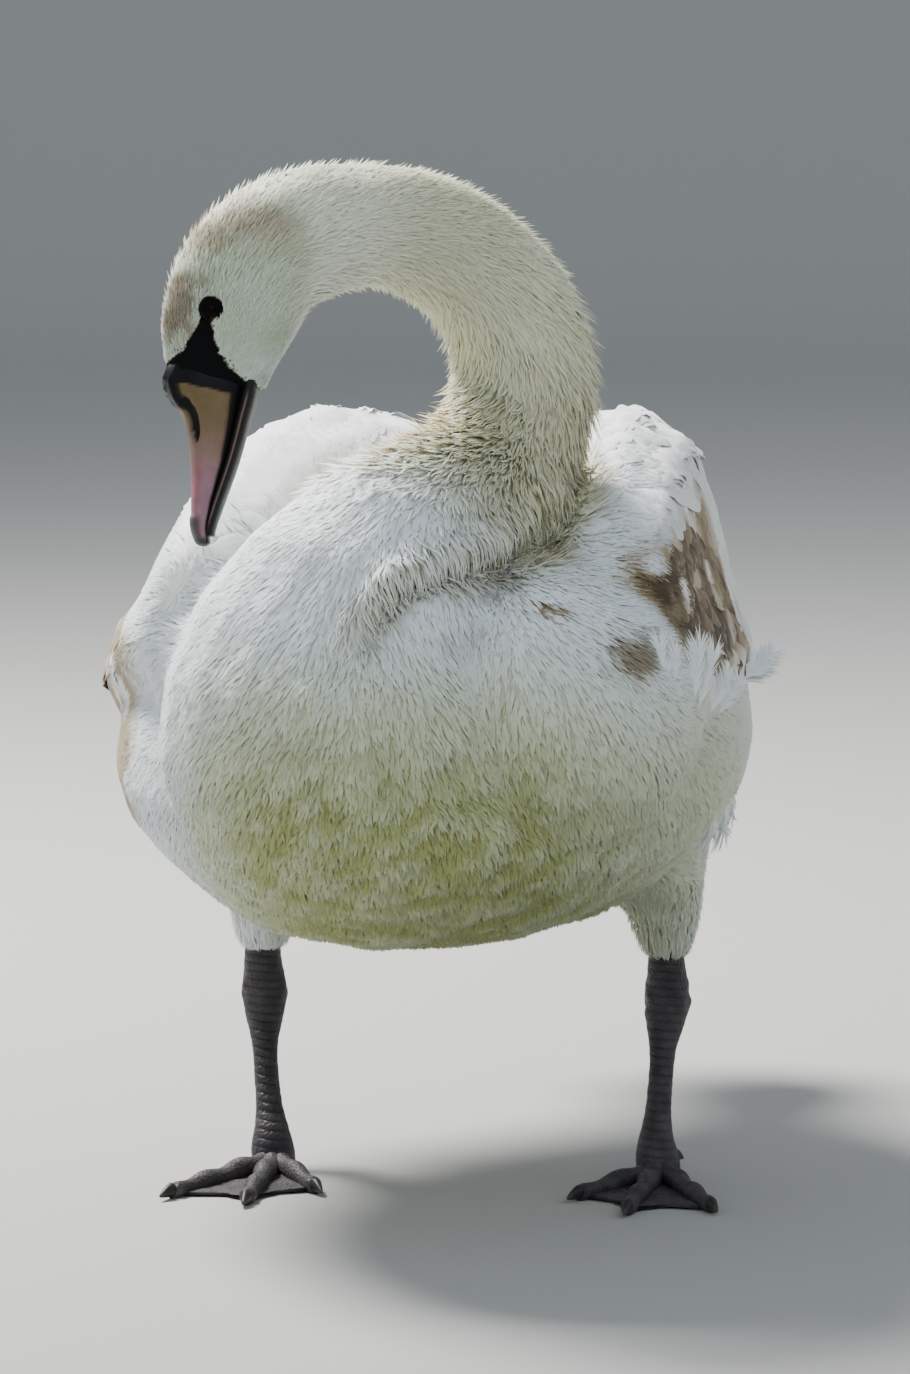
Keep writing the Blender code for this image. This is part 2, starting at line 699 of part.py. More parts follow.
def centre_on_floor():
    """Hangs every solid on one empty and moves it so that the bird's box stands centred on the
    origin, with the soles on the floor."""
    bpy.context.view_layer.update()
    graph = bpy.context.evaluated_depsgraph_get()
    low, high = np.full(3, np.inf), np.full(3, -np.inf)
    for obj in bpy.data.objects:
        if obj.type == "MESH" and not obj.hide_render:
            ready = obj.evaluated_get(graph)
            corners = np.array([ready.matrix_world @ v.co for v in ready.data.vertices])
            low, high = np.minimum(low, corners.min(axis=0)), np.maximum(high, corners.max(axis=0))
    root = bpy.data.objects.new("swan", None)
    bpy.context.scene.collection.objects.link(root)
    for obj in list(bpy.data.objects):
        if obj.type == "MESH":
            obj.parent = root
    root.location = (-(low[0] + high[0]) / 2, -(low[1] + high[1]) / 2, -low[2])


def main():
    clear_scene()
    neck_root, neck_lower, neck_middle = make_neck()
    trunk = make_trunk(neck_root)
    fit_against(neck_lower, trunk)
    for side in (1, -1):
        make_wing(side, trunk, neck_lower, neck_middle, make_primaries(side))
        make_leg(side, trunk)
    make_tail(trunk)
    head = make_head()
    make_bill(head)
    make_eyes(head)
    floor_cutter = make_floor_cutter("floor_cutter")
    for side in (1, -1):
        make_foot(side, floor_cutter)
    centre_on_floor()


main()
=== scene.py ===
"""Looks of the standing mute swan: one skin under a coat of real feathers, with the bill, the
eyes, the legs and the feet as pieces of their own.

Every surface is computed here as arrays of points. Places are written in the bird's own frame,
in metres: it faces -Y, its left side is +X and it stands on Z = 0. SHIFT moves them to where the
solids stand. A feather is a closed strip or vane that starts on the skin, follows it along the
lie of the coat and rises a little towards its tip.
"""

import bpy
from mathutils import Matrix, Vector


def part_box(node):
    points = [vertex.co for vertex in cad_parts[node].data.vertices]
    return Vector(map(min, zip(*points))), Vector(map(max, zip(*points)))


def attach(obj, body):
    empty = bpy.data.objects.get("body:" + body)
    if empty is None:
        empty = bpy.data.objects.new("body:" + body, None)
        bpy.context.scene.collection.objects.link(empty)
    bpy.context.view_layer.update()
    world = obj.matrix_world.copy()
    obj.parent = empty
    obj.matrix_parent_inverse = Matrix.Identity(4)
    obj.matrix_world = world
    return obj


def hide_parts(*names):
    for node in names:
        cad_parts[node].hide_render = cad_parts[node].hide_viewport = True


bl_info = {
    "name": "Mute swan",
    "version": (1, 0, 0),
    "blender": (4, 5, 0),
    "location": "3D View > Sidebar > Swan",
    "description": "Skin, feathers, bill, eyes and legs of a standing mute swan",
    "category": "Add Mesh",
}

from math import cos, pi, radians, sin

import bmesh
import bpy
import numpy as np
from bpy.props import FloatProperty, FloatVectorProperty, IntProperty, PointerProperty
from mathutils import Matrix, Vector

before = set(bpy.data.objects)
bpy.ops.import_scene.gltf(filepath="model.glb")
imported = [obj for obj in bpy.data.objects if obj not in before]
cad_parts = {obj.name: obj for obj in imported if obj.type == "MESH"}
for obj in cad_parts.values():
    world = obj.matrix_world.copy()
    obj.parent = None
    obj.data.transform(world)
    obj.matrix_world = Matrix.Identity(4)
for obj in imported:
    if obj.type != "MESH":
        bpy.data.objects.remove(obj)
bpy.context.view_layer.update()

FLESH = (
    "trunk",
    "neck_lower",
    "neck_middle",
    "neck_upper",
    "head",
    "wing_left",
    "wing_right",
    "tail",
    "thigh_left",
    "thigh_right",
)
TRUNK_END = 0.322
SIDES = {1: "left", -1: "right"}
UP = np.array([0.0, 0.0, 1.0])

# Neck and head, as one line. Rows are X, Y, Z, depth to the crown, depth to the throat and half
# the width.
NECK_LINE = (
    (-0.018, -0.135, 0.190, 0.078, 0.078, 0.078),
    (-0.021, -0.150, 0.235, 0.106, 0.106, 0.106),
    (-0.024, -0.153, 0.284, 0.096, 0.096, 0.096),
    (-0.014, -0.150, 0.322, 0.070, 0.070, 0.070),
    (0.007, -0.130, 0.350, 0.048, 0.048, 0.048),
    (0.030, -0.098, 0.375, 0.0385, 0.0385, 0.0385),
    (0.043, -0.080, 0.408, 0.0365, 0.0365, 0.0365),
    (0.041, -0.085, 0.443, 0.0355, 0.0355, 0.0355),
    (0.023, -0.105, 0.4755, 0.0342, 0.0342, 0.0342),
    (-0.004, -0.140, 0.4955, 0.0330, 0.0330, 0.0330),
    (-0.029, -0.175, 0.4995, 0.0315, 0.0315, 0.0310),
    (-0.049, -0.200, 0.4945, 0.0325, 0.0315, 0.0290),
    (-0.065, -0.215, 0.4835, 0.0340, 0.0305, 0.0270),
    (-0.075, -0.225, 0.4655, 0.0335, 0.0325, 0.0260),
    (-0.0815, -0.232, 0.4445, 0.0300, 0.0290, 0.0225),
    (-0.0845, -0.236, 0.4255, 0.0215, 0.0225, 0.0170),
)
HEAD_ROW = 10
HEAD_MIDDLE = NECK_LINE[13][:3]
NECK_BASE = (0.012, -0.112, 0.352)
HEAD_LEFT = (0.10, -0.99, 0.0)

# The bill in its own frame. Rows are the share of the length, culmen, cutting edge, chin and
# half the width.
BILL_LENGTH = 0.078
BILL_TURN = (-0.025, -0.14, -0.99)
BILL_OUTLINE = (
    (0.00, 0.0228, -0.0175, -0.0218, 0.0167),
    (0.10, 0.0196, -0.0160, -0.0205, 0.0162),
    (0.20, 0.0145, -0.0143, -0.0186, 0.0157),
    (0.36, 0.0110, -0.0117, -0.0160, 0.0150),
    (0.50, 0.0095, -0.0090, -0.0133, 0.0146),
    (0.64, 0.0086, -0.0058, -0.0100, 0.0142),
    (0.78, 0.0081, -0.0028, -0.0066, 0.0132),
    (0.90, 0.0072, -0.0012, -0.0040, 0.0108),
    (0.97, 0.0050, -0.0018, -0.0034, 0.0070),
)
EYE_ALONG = 0.75
EYE_UP = 0.0085
EYE_OUT = 0.0187

# Bare black skin between the eye and the bill. Rows are the distance behind the bill, and how far
# it reaches above and below the level of the eye.
LORES = (
    (-0.020, 0.060, 0.060),
    (0.001, 0.045, 0.0200),
    (0.0040, 0.045, 0.0147),
    (0.0075, 0.045, 0.0105),
    (0.0095, 0.0208, 0.0092),
    (0.0111, 0.0192, 0.0078),
    (0.0128, 0.0164, 0.0064),
    (0.0150, 0.0133, 0.0048),
    (0.0183, 0.0117, 0.0039),
    (0.0217, 0.0092, 0.0028),
    (0.0260, 0.0069, 0.0016),
    (0.0290, 0.0058, 0.0010),
    (0.0340, 0.0050, 0.0005),
    (0.0370, -0.010, -0.010),
)

# The fold where the neck lies down on the left breast, from the middle of the breast back.
CREASE = (
    (-0.0110, -0.2390, 0.285),
    (-0.0093, -0.2366, 0.3015),
    (0.0034, -0.2219, 0.322),
    (0.0167, -0.2102, 0.3288),
    (0.0365, -0.1827, 0.3335),
    (0.0503, -0.1412, 0.3408),
    (0.0616, -0.1149, 0.3576),
)
CHEST = (0.0, -0.11, 0.27)

# Flesh that closes the pockets between the wings and the body: middle and half sizes.
FILLERS = (
    ((-0.1180, -0.1330, 0.2830), (0.0200, 0.0260, 0.0300)),
    ((-0.1230, -0.1000, 0.2750), (0.0180, 0.0300, 0.0260)),
)

# How the skin is made: how far the solids swell before they melt together, the size of the cells
# that it is rebuilt from, how far it follows the tail, and the share that it keeps of the rest.
SKIN_SWELL = 0.0012
SKIN_CELL = 0.0036
TAIL_ROOT = 0.085
TAIL_SHARE = 0.03

# Smudges of brown and grey: the middle, the half sizes, the colour and the strength. The ones on
# the head lie on both its sides.
HEAD_SMUDGES = (
    ((-0.1010, -0.2455, 0.4610), (0.013, 0.020, 0.021), (0.22, 0.155, 0.095), 0.85),
    ((-0.0890, -0.2375, 0.4925), (0.018, 0.016, 0.012), (0.29, 0.21, 0.135), 0.80),
    ((-0.0690, -0.2350, 0.5020), (0.026, 0.018, 0.011), (0.36, 0.27, 0.18), 0.70),
    ((-0.0560, -0.2400, 0.4930), (0.020, 0.015, 0.009), (0.52, 0.44, 0.32), 0.35),
)
BODY_SMUDGES = (
    ((0.0422, -0.1743, 0.3269), (0.012, 0.022, 0.009), (0.42, 0.38, 0.33), 0.75),
    ((0.0316, -0.2087, 0.3066), (0.012, 0.020, 0.010), (0.50, 0.50, 0.50), 0.50),
    ((0.0680, -0.1960, 0.3172), (0.016, 0.010, 0.0020), (0.20, 0.14, 0.08), 1.00),
    ((0.0670, -0.1960, 0.3178), (0.006, 0.010, 0.0036), (0.26, 0.19, 0.12), 1.00),
    ((0.1090, -0.1880, 0.2955), (0.0140, 0.026, 0.0125), (0.24, 0.185, 0.12), 0.95),
)

# Folded wing tips: Y, distance from the middle, Z, half the bundle's height and thickness.
PRIMARIES_LINE = (
    (0.205, 0.1150, 0.277, 0.015, 0.0055),
    (0.225, 0.1050, 0.278, 0.023, 0.0075),
    (0.260, 0.0835, 0.279, 0.024, 0.0075),
    (0.310, 0.0580, 0.280, 0.021, 0.0060),
    (0.370, 0.0330, 0.280, 0.013, 0.0040),
    (0.402, 0.0190, 0.281, 0.007, 0.0025),
)
MIDDLE = ((-0.27, -0.015), (0.00, -0.015), (0.10, -0.011), (0.20, -0.005), (0.46, 0.0))

# Legs. Rows are X, Y, Z, half width and half depth.
SHANK_LINE = (
    (0.1060, 0.0455, 0.1230, 0.0098, 0.0112),
    (0.1065, 0.0472, 0.1127, 0.0094, 0.0104),
    (0.1065, 0.0510, 0.1020, 0.0104, 0.0115),
    (0.1065, 0.0550, 0.0900, 0.0120, 0.0140),
    (0.1060, 0.0520, 0.0780, 0.0102, 0.0115),
    (0.1050, 0.0440, 0.0640, 0.0070, 0.0085),
    (0.1035, 0.0350, 0.0450, 0.0064, 0.0078),
    (0.1020, 0.0280, 0.0310, 0.0072, 0.0086),
    (0.1010, 0.0230, 0.0215, 0.0090, 0.0102),
    (0.1010, 0.0205, 0.0120, 0.0112, 0.0120),
    (0.1010, 0.0200, 0.0030, 0.0113, 0.0122),
)
ANKLE_SWAY = 0.006
SWAY_HEIGHT = 0.18
FOOT_HUB = (0.1010, 0.020, 0.0)
TOE_IN = 2.0
TOES = ((-24.0, 0.074, 2), (0.0, 0.104, 3), (24.0, 0.098, 3))
TOE_RADIUS = 0.0062
TOE_TIP_RADIUS = 0.0040
CLAW_LENGTH = 0.011
FLOOR_GAP = 0.0002

COLOURS = {
    # white: tinted a little blue, painted sky light on the feathers
    "white": (0.85, 0.88, 0.90),
    # cream: a warm tint; on the neck it also stands for painted light through the feathers
    "cream": (0.80, 0.77, 0.56),
    # olive: a real weed stain, and painted green bounce light and shade under the body
    "olive": (0.34, 0.35, 0.11),
    # stain: a real stain at the root of the neck, also used as painted shade in the fold of the neck
    "stain": (0.27, 0.225, 0.095),
    "brown": (0.082, 0.050, 0.026),
    "bare": (0.0035, 0.0035, 0.0042),
}


# ---------------------------------------------------------------- numbers


def unit(vectors):
    """Each vector divided by its own length."""
    return vectors / np.maximum(np.linalg.norm(vectors, axis=-1, keepdims=True), 1e-12)


def smooth(value, low, high):
    """0 at low, 1 at high, with a soft step between them."""
    t = np.clip((value - low) / (high - low), 0, 1)
    return t * t * (3 - 2 * t)


def mix(first, second, share):
    """From the first vectors to the second ones, each as far as its share says."""
    first = np.asarray(first)
    return first + (np.asarray(second) - first) * np.asarray(share)[..., None]


def round_angles(sides):
    """Angles in even steps round a circle."""
    return np.linspace(0, 2 * pi, sides, endpoint=False)


def along(rows, at):
    """Rows of values read at each place in at; the first column is the place. Between two rows
    lies a cubic with the slopes that the neighbouring rows give."""
    table = np.asarray(rows, float)
    place, value = table[:, 0], table[:, 1:]
    slope = np.gradient(value, place, axis=0)
    at = np.atleast_1d(np.asarray(at, float))
    i = np.clip(np.searchsorted(place, at, "right") - 1, 0, len(place) - 2)
    step = (place[i + 1] - place[i])[:, None]
    t = (at - place[i])[:, None] / step
    return (
        (2 * t**3 - 3 * t**2 + 1) * value[i]
        + (t**3 - 2 * t**2 + t) * step * slope[i]
        + (3 * t**2 - 2 * t**3) * value[i + 1]
        + (t**3 - t**2) * step * slope[i + 1]
    )


def by_distance(rows, columns=3):
    """The same rows, with the share of the distance through their first columns put in front."""
    table = np.asarray(rows, float)
    steps = np.linalg.norm(np.diff(table[:, :columns], axis=0), axis=1)
    share = np.concatenate([[0.0], np.cumsum(steps)]) / steps.sum()
    return np.column_stack([share, table])


def noise(points, size, seed):
    """Random numbers from 0 to 1 at the corners of a lattice of that size, blended between."""
    place = points / size + seed * 7.31
    base = np.floor(place).astype(np.int64)
    t = place - base
    t = t * t * (3 - 2 * t)
    total = np.zeros(points.shape[:-1])
    for corner in np.ndindex(2, 2, 2):
        cell = base + np.array(corner)
        key = cell[..., 0] * 73856093 ^ cell[..., 1] * 19349663 ^ cell[..., 2] * 83492791
        key = (key ^ (seed * 668265263)) & 0xFFFFFFFF
        key = ((key ^ (key >> 15)) * 2246822519) & 0xFFFFFFFF
        key = ((key ^ (key >> 13)) * 3266489917) & 0xFFFFFFFF
        value = ((key ^ (key >> 16)) & 0xFFFF) / 65535.0
        weight = np.prod(np.where(np.array(corner) == 1, t, 1 - t), axis=-1)
        total = total + value * weight
    return total


def own_shift():
    """How far the solids stand from the bird's own frame. The feet mirror each other about X = 0."""
    left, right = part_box("foot_left"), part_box("foot_right")
    return np.array([(left[1].x + right[0].x) / 2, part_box("trunk")[1].y - TRUNK_END, 0.0])


SHIFT = own_shift()
LINE = by_distance(NECK_LINE)
NECK_END = LINE[HEAD_ROW, 0]


def line_at(share):
    """At each share of the whole neck and head line: the point, the three sizes, and the axes
    forward, to the head's left and up to its crown."""
    share = np.atleast_1d(np.asarray(share, float))
    here = along(LINE, share)
    ahead = along(LINE, np.minimum(share + 1e-3, 1))
    behind = along(LINE, np.maximum(share - 1e-3, 0))
    forward = unit(ahead[:, :3] - behind[:, :3])
    hint = np.asarray(HEAD_LEFT)
    left = unit(hint - (forward @ hint)[:, None] * forward)
    return here[:, :3], here[:, 3:], forward, left, np.cross(forward, left)


def head_share(share):
    """The place on the whole line of a share of the head, from its root at 0 to the bill at 1."""
    return NECK_END + (1 - NECK_END) * share


def nearest_row(points, rows, chunk=20000):
    """The number of the row nearest to each point, found for a chunk of points at a time."""
    best = np.empty(len(points), int)
    for start in range(0, len(points), chunk):
        part = points[start : start + chunk]
        best[start : start + chunk] = ((part[:, None] - rows[None]) ** 2).sum(-1).argmin(1)
    return best


def nearest_on_line(points):
    """For each point in the own frame: the share of the line nearest to it, its distance from the
    line there, and the line's forward axis and size there."""
    shares = np.linspace(0, 1, 240)
    places, sizes, forward, _, _ = line_at(shares)
    best = nearest_row(points, places)
    distance = np.linalg.norm(points - places[best], axis=1)
    return shares[best], distance, forward[best], sizes[best, 0]


def crease_place(points):
    """For points in the own frame: the distance from the fold of the neck, how far along it they
    lie, from 0 to 1, the direction over it, from the breast to the neck, and how far over it they
    lie."""
    shares = np.linspace(0, 1, 60)
    line = along(by_distance(CREASE), shares)
    way = unit(np.gradient(line, axis=0))
    over = -np.cross(way, unit(line - np.asarray(CHEST)))
    best = nearest_row(points, line)
    rel = points - line[best]
    return np.linalg.norm(rel, axis=1), shares[best], over[best], (rel * over[best]).sum(1)


def ruff(own):
    """1 on the band of tufts that hangs over the fold of the neck, 0 elsewhere."""
    gap, share_in, _, side = crease_place(own)
    return np.exp(-(((gap - 0.009) / 0.0105) ** 2)) * (side > 0.0005) * smooth(share_in, 0.04, 0.25)


def bill_frame():
    """Where the bill starts, and its axes forward, left and up."""
    point = line_at(1.0)[0][0]
    forward = unit(np.asarray(BILL_TURN, float))
    hint = np.asarray(HEAD_LEFT)
    left = unit(hint - (forward @ hint) * forward)
    return point, forward, left, np.cross(forward, left)


def eye_frame(side):
    """The middle of the eye, and its axes out of the head, towards the bill and up."""
    point, _, forward, left, up = (values[0] for values in line_at(head_share(EYE_ALONG)))
    bill = bill_frame()[1]
    out = unit(left * side + 0.12 * forward)
    ahead = unit(bill - (bill @ out) * out)
    return point + left * side * EYE_OUT + up * EYE_UP, out, ahead, np.cross(out, ahead)


def face_place(points):
    """Distance behind the bill, and height over the middle of its base, of points in the own
    frame."""
    start, forward, _, up = bill_frame()
    return -(points - start) @ forward, (points - start) @ up


# ---------------------------------------------------------------- meshes


def link_object(name, data):
    """A new object of the data, in the scene."""
    obj = bpy.data.objects.new(name, data)
    bpy.context.scene.collection.objects.link(obj)
    return obj


def new_object(name, points, faces_start, loops, finish):
    """An object of the given points and polygons. faces_start is where each one's corners begin
    in loops."""
    mesh = bpy.data.meshes.new(name)
    mesh.vertices.add(len(points))
    mesh.vertices.foreach_set("co", np.ascontiguousarray(points, np.float32).ravel())
    mesh.loops.add(len(loops))
    mesh.loops.foreach_set("vertex_index", np.ascontiguousarray(loops, np.int32))
    mesh.polygons.add(len(faces_start))
    mesh.polygons.foreach_set("loop_start", np.ascontiguousarray(faces_start, np.int32))
    mesh.update(calc_edges=True)
    mesh.validate()
    mesh.shade_smooth()
    mesh.materials.append(finish)
    return link_object(name, mesh)


def loft_faces(count, stations, ring):
    """Corner indices of count closed lofts, each of that many stations of that many points, with a
    cap at both ends. The rings run clockwise when seen from the start."""
    base = np.arange(count)[:, None, None, None] * stations * ring
    j = np.arange(stations - 1)[None, :, None, None] * ring
    k = np.arange(ring)[None, None, :, None]
    near = (k + 1) % ring
    quads = np.concatenate(
        [base + j + k, base + j + ring + k, base + j + ring + near, base + j + near], axis=3
    ).reshape(-1, 4)
    first = np.arange(count)[:, None] * stations * ring + np.arange(ring)[None]
    last = first[:, ::-1] + (stations - 1) * ring
    loops = np.concatenate([quads.ravel(), first.ravel(), last.ravel()])
    starts = np.concatenate(
        [np.arange(len(quads)) * 4, len(quads) * 4 + np.arange(2 * count) * ring]
    )
    return starts, loops


def blade_faces(count, rings, root_point):
    """Faces of count closed three-sided blades, and which corners lie on their undersides. Each
    has that many rings of three points, then the point of its tip and, if root_point, that of its
    root; else the root is a flat face."""
    tip = rings * 3
    faces = []
    for j in range(0, tip - 3, 3):
        faces += [(j + k, j + 3 + k, j + 3 + (k + 1) % 3, j + (k + 1) % 3) for k in range(3)]
    faces += [(tip - 3 + k, tip, tip - 3 + (k + 1) % 3) for k in range(3)]
    faces += [(tip + 1, k, (k + 1) % 3) for k in range(3)] if root_point else [(0, 1, 2)]
    sizes = np.array([len(face) for face in faces])
    corners = np.concatenate([np.array(face) for face in faces])
    under = np.repeat(np.arange(len(faces)) % 3 == 2, sizes)
    first = np.concatenate([[0], np.cumsum(sizes)[:-1]])
    number = np.arange(count)[:, None]
    loops = (number * (tip + 1 + root_point) + corners).ravel()
    return (number * len(corners) + first).ravel(), loops, np.tile(under, count)


def set_colours(obj, colours, name="tint"):
    """Stores one colour a point, for the materials."""
    full = np.ones((len(colours), 4), np.float32)
    full[:, :3] = np.clip(colours, 0, 1)
    layer = obj.data.attributes.new(name, "FLOAT_COLOR", "POINT")
    layer.data.foreach_set("color", full.ravel())


def set_uv(obj, places, name):
    """Stores a UV map from one place a point."""
    loops = np.empty(len(obj.data.loops), np.int32)
    obj.data.loops.foreach_get("vertex_index", loops)
    layer = obj.data.uv_layers.new(name=name)
    layer.data.foreach_set("uv", np.ascontiguousarray(places[loops], np.float32).ravel())


def finish_piece(obj, slot, *nodes):
    """Ties the piece to the root body and hides the solids that it stands for. The slot is not used.
    """
    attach(obj, "root")
    if nodes:
        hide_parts(*nodes)
    return obj


def evaluated_mesh(obj):
    """A new mesh with the object's modifiers applied."""
    graph = bpy.context.evaluated_depsgraph_get()
    graph.update()
    return bpy.data.meshes.new_from_object(obj.evaluated_get(graph), depsgraph=graph)


def mesh_points(mesh, what="co"):
    """The places of a mesh's vertices, or their normals, one row each."""
    values = np.empty(len(mesh.vertices) * 3, np.float32)
    mesh.vertices.foreach_get(what, values)
    return values.reshape(-1, 3).astype(float)


def move_points(mesh, points):
    """Sets the places of a mesh's vertices."""
    mesh.vertices.foreach_set("co", points.astype(np.float32).ravel())
    mesh.update()


def face_outward(mesh):
    """Fans out the faces of more than four corners and turns all faces outward."""
    bm = bmesh.new()
    bm.from_mesh(mesh)
    bmesh.ops.poke(bm, faces=[f for f in bm.faces if len(f.verts) > 4])
    bmesh.ops.recalc_face_normals(bm, faces=bm.faces)
    bm.to_mesh(mesh)
    bm.free()


# ---------------------------------------------------------------- materials

NOISE = "ShaderNodeTexNoise"
VORONOI = "ShaderNodeTexVoronoi"
BARBS = 1100.0

# The roughness, the scale of the grain, how dark and light it goes, and the strength and scale of
# the bump, then further settings of the shader.
FINISHES = {
    "swan skin": ((0.6, 260.0, 0.85, 1.1, 0.5, 420.0), {"Specular_IOR_Level": 0.05}),
    "plumage": (
        (0.6, 700.0, 0.94, 1.05, 0.0, 1.0),
        {
            "Sheen_Weight": 0.06,
            "Sheen_Roughness": 0.4,
            "Subsurface_Weight": 0.2,
            "Subsurface_Scale": 0.005,
            "Specular_IOR_Level": 0.25,
        },
    ),
    "vanes": ((0.55,), {"Sheen_Weight": 0.04, "Sheen_Roughness": 0.4, "Specular_IOR_Level": 0.2}),
    "bill horn": ((0.44, 320.0, 0.86, 1.12, 0.12, 900.0), {"Specular_IOR_Level": 0.14}),
    "bare black skin": ((0.6, 500.0, 0.7, 1.4, 0.5, 650.0), {"Specular_IOR_Level": 0.04}),
    "wet eye": ((0.08, 900.0, 0.8, 1.3, 0.0, 1.0), {"Specular_IOR_Level": 0.05}),
    "leg scales": ((0.5, 420.0, 0.75, 1.25, 0.7, 620.0, VORONOI), {"Specular_IOR_Level": 0.18}),
    "claw horn": ((0.42, 300.0, 0.8, 1.2, 0.2, 500.0), {"Specular_IOR_Level": 0.18}),
}


def new_material(name, roughness, **settings):
    """A Principled material whose plain settings sit on the shader's own sockets."""
    made = bpy.data.materials.new(name)
    made.use_nodes = True
    shader = made.node_tree.nodes["Principled BSDF"]
    shader.inputs["Roughness"].default_value = roughness
    for key, value in settings.items():
        shader.inputs[key.replace("_", " ")].default_value = value
    return made, made.node_tree, shader


def add_node(tree, kind, sockets, **settings):
    """A new shader node. sockets gives each input a value, or the output that feeds it."""
    made = tree.nodes.new(kind)
    for key, value in settings.items():
        setattr(made, key, value)
    for key, value in sockets.items():
        if isinstance(value, bpy.types.NodeSocket):
            tree.links.new(value, made.inputs[key])
        else:
            made.inputs[key].default_value = value
    return made


def paint(tree, shader, strength):
    """The base colour: the tint attribute, made lighter or darker by the strength."""
    tint = add_node(tree, "ShaderNodeAttribute", {}, attribute_name="tint")
    sockets = {0: tint.outputs["Color"], "Scale": strength}
    blend = add_node(tree, "ShaderNodeVectorMath", sockets, operation="SCALE")
    tree.links.new(blend.outputs["Vector"], shader.inputs["Base Color"])


def emboss(tree, shader, height, strength, distance):
    """A bump from the height."""
    sockets = {"Height": height, "Strength": strength, "Distance": distance}
    raised = add_node(tree, "ShaderNodeBump", sockets)
    tree.links.new(raised.outputs["Normal"], shader.inputs["Normal"])


def tinted(name, roughness, scale, low, high, bump, bump_scale, kind=NOISE, **more):
    """A material that takes its colour from the tint attribute, lightened and darkened by a fine
    grain, with a bump of its own scale. Both lie on Object coordinates."""
    made, tree, shader = new_material(name, roughness, **more)
    place = add_node(tree, "ShaderNodeTexCoord", {}).outputs["Object"]
    grain = add_node(tree, NOISE, {"Vector": place, "Scale": scale, "Detail": 3.0})
    sockets = {"Value": grain.outputs["Fac"], "To Min": low, "To Max": high}
    paint(tree, shader, add_node(tree, "ShaderNodeMapRange", sockets).outputs["Result"])
    if bump:
        detail = {"Detail": 2.0} if kind == NOISE else {}
        texture = add_node(tree, kind, {"Vector": place, "Scale": bump_scale, **detail})
        emboss(tree, shader, texture.outputs[0], bump, 0.0006)
    return made


def vane_material(name, roughness, **more):
    """Feather vanes: the tint, with fine barbs that run out from the shaft towards the tip. They
    are a sine of the distance along less the distance across. The piece's own map holds those as
    V and U."""
    made, tree, shader = new_material(name, roughness, **more)

    def maths(operation, *values):
        """One step of arithmetic."""
        sockets = dict(enumerate(values))
        return add_node(tree, "ShaderNodeMath", sockets, operation=operation).outputs["Value"]

    lie_map = add_node(tree, "ShaderNodeUVMap", {}, uv_map="lie").outputs["UV"]
    across, length, _ = add_node(tree, "ShaderNodeSeparateXYZ", {"Vector": lie_map}).outputs
    slant = maths("SUBTRACT", length, maths("ABSOLUTE", across))
    ridges = maths("SINE", maths("MULTIPLY", slant, 2 * pi * BARBS))
    sockets = {"Value": ridges, "From Min": -1.0, "To Min": 0.90, "To Max": 1.04}
    paint(tree, shader, add_node(tree, "ShaderNodeMapRange", sockets).outputs["Result"])
    emboss(tree, shader, ridges, 0.35, 0.0002)
    return made


def material(name):
    """The finish of that name, made once. Feather vanes have a shader of their own."""
    found = bpy.data.materials.get(name)
    if found:
        return found
    numbers, more = FINISHES[name]
    return (vane_material if name == "vanes" else tinted)(name, *numbers, **more)


# ---------------------------------------------------------------- markings of skin and coat


def neck_weight(own):
    """1 on the neck and head, 0 on the body: by the share of the line, and by the distance from
    it in its own radii. Also returns that share and the line's forward axis."""
    share, distance, forward, radius = nearest_on_line(own)
    weight = smooth(share, 0.27, 0.40) * smooth(distance / radius, 1.45, 1.15)
    return weight, share, forward


def smudges(own, rows, colour):
    """Lays soft-edged patches over the colours."""
    broken = 0.6 * noise(own, 0.0030, 71) + 0.4 * noise(own, 0.0090, 73)
    for middle_of, size, shade, strength in rows:
        gap = np.linalg.norm((own - middle_of) / size, axis=1) + 1.3 * (broken - 0.5)
        colour = mix(colour, shade, strength * smooth(gap, 1.25, 0.35))
    return colour


def stain_and_fold_shade(own):
    """1 where the wet tufts at the root of the neck carry a real stain, and over the fold of the
    neck, where the dark also stands for painted shade in the fold and between the tufts; 0 elsewhere.
    """
    share, distance, _, radius = nearest_on_line(own)
    base = smooth(share, 0.29, 0.36) * smooth(share, 0.58, 0.44)
    base = base * smooth(distance / radius, 1.6, 1.1)
    return 0.75 * np.maximum(0.7 * base * smooth(own[:, 0], -0.045, 0.0), ruff(own))


def low_stain_and_painted_light(own):
    """1 on the breast and belly, which carry a real weed stain together with painted green bounce
    light and shade from below, fading towards the flanks and the back.
    """
    x, y, z = own.T
    low = smooth(z, 0.330, 0.205) * smooth(y, 0.16, -0.08)
    return low * smooth(x, -0.135, -0.045) * (1 - 0.5 * smooth(x, 0.055, 0.13))


def relief(own):
    """How far the coat swells in soft clumps, in metres: lumps that are longer across than high on
    the low front of breast and belly, faint ones elsewhere, and low folds round the right of the
    breast."""
    x, y, z = own.T
    low = low_stain_and_painted_light(own)
    place = np.stack([x, y, 2.3 * z - 0.55 * x], -1)
    clumps = noise(place, 0.0125, 61) + 0.5 * noise(place, 0.0060, 63) - 0.75
    height = clumps * (0.0004 + 0.0026 * low)
    turn = np.hypot(x + 0.024, z - 0.262)
    folds = smooth(turn, 0.086, 0.098) * smooth(turn, 0.140, 0.126) * smooth(x, -0.050, -0.075)
    folds = folds * smooth(z, 0.285, 0.25) * smooth(y, -0.08, -0.13)
    return height + 0.0005 * folds * np.cos((turn + 0.004 * noise(own, 0.03, 65)) * 2 * pi / 0.0090)


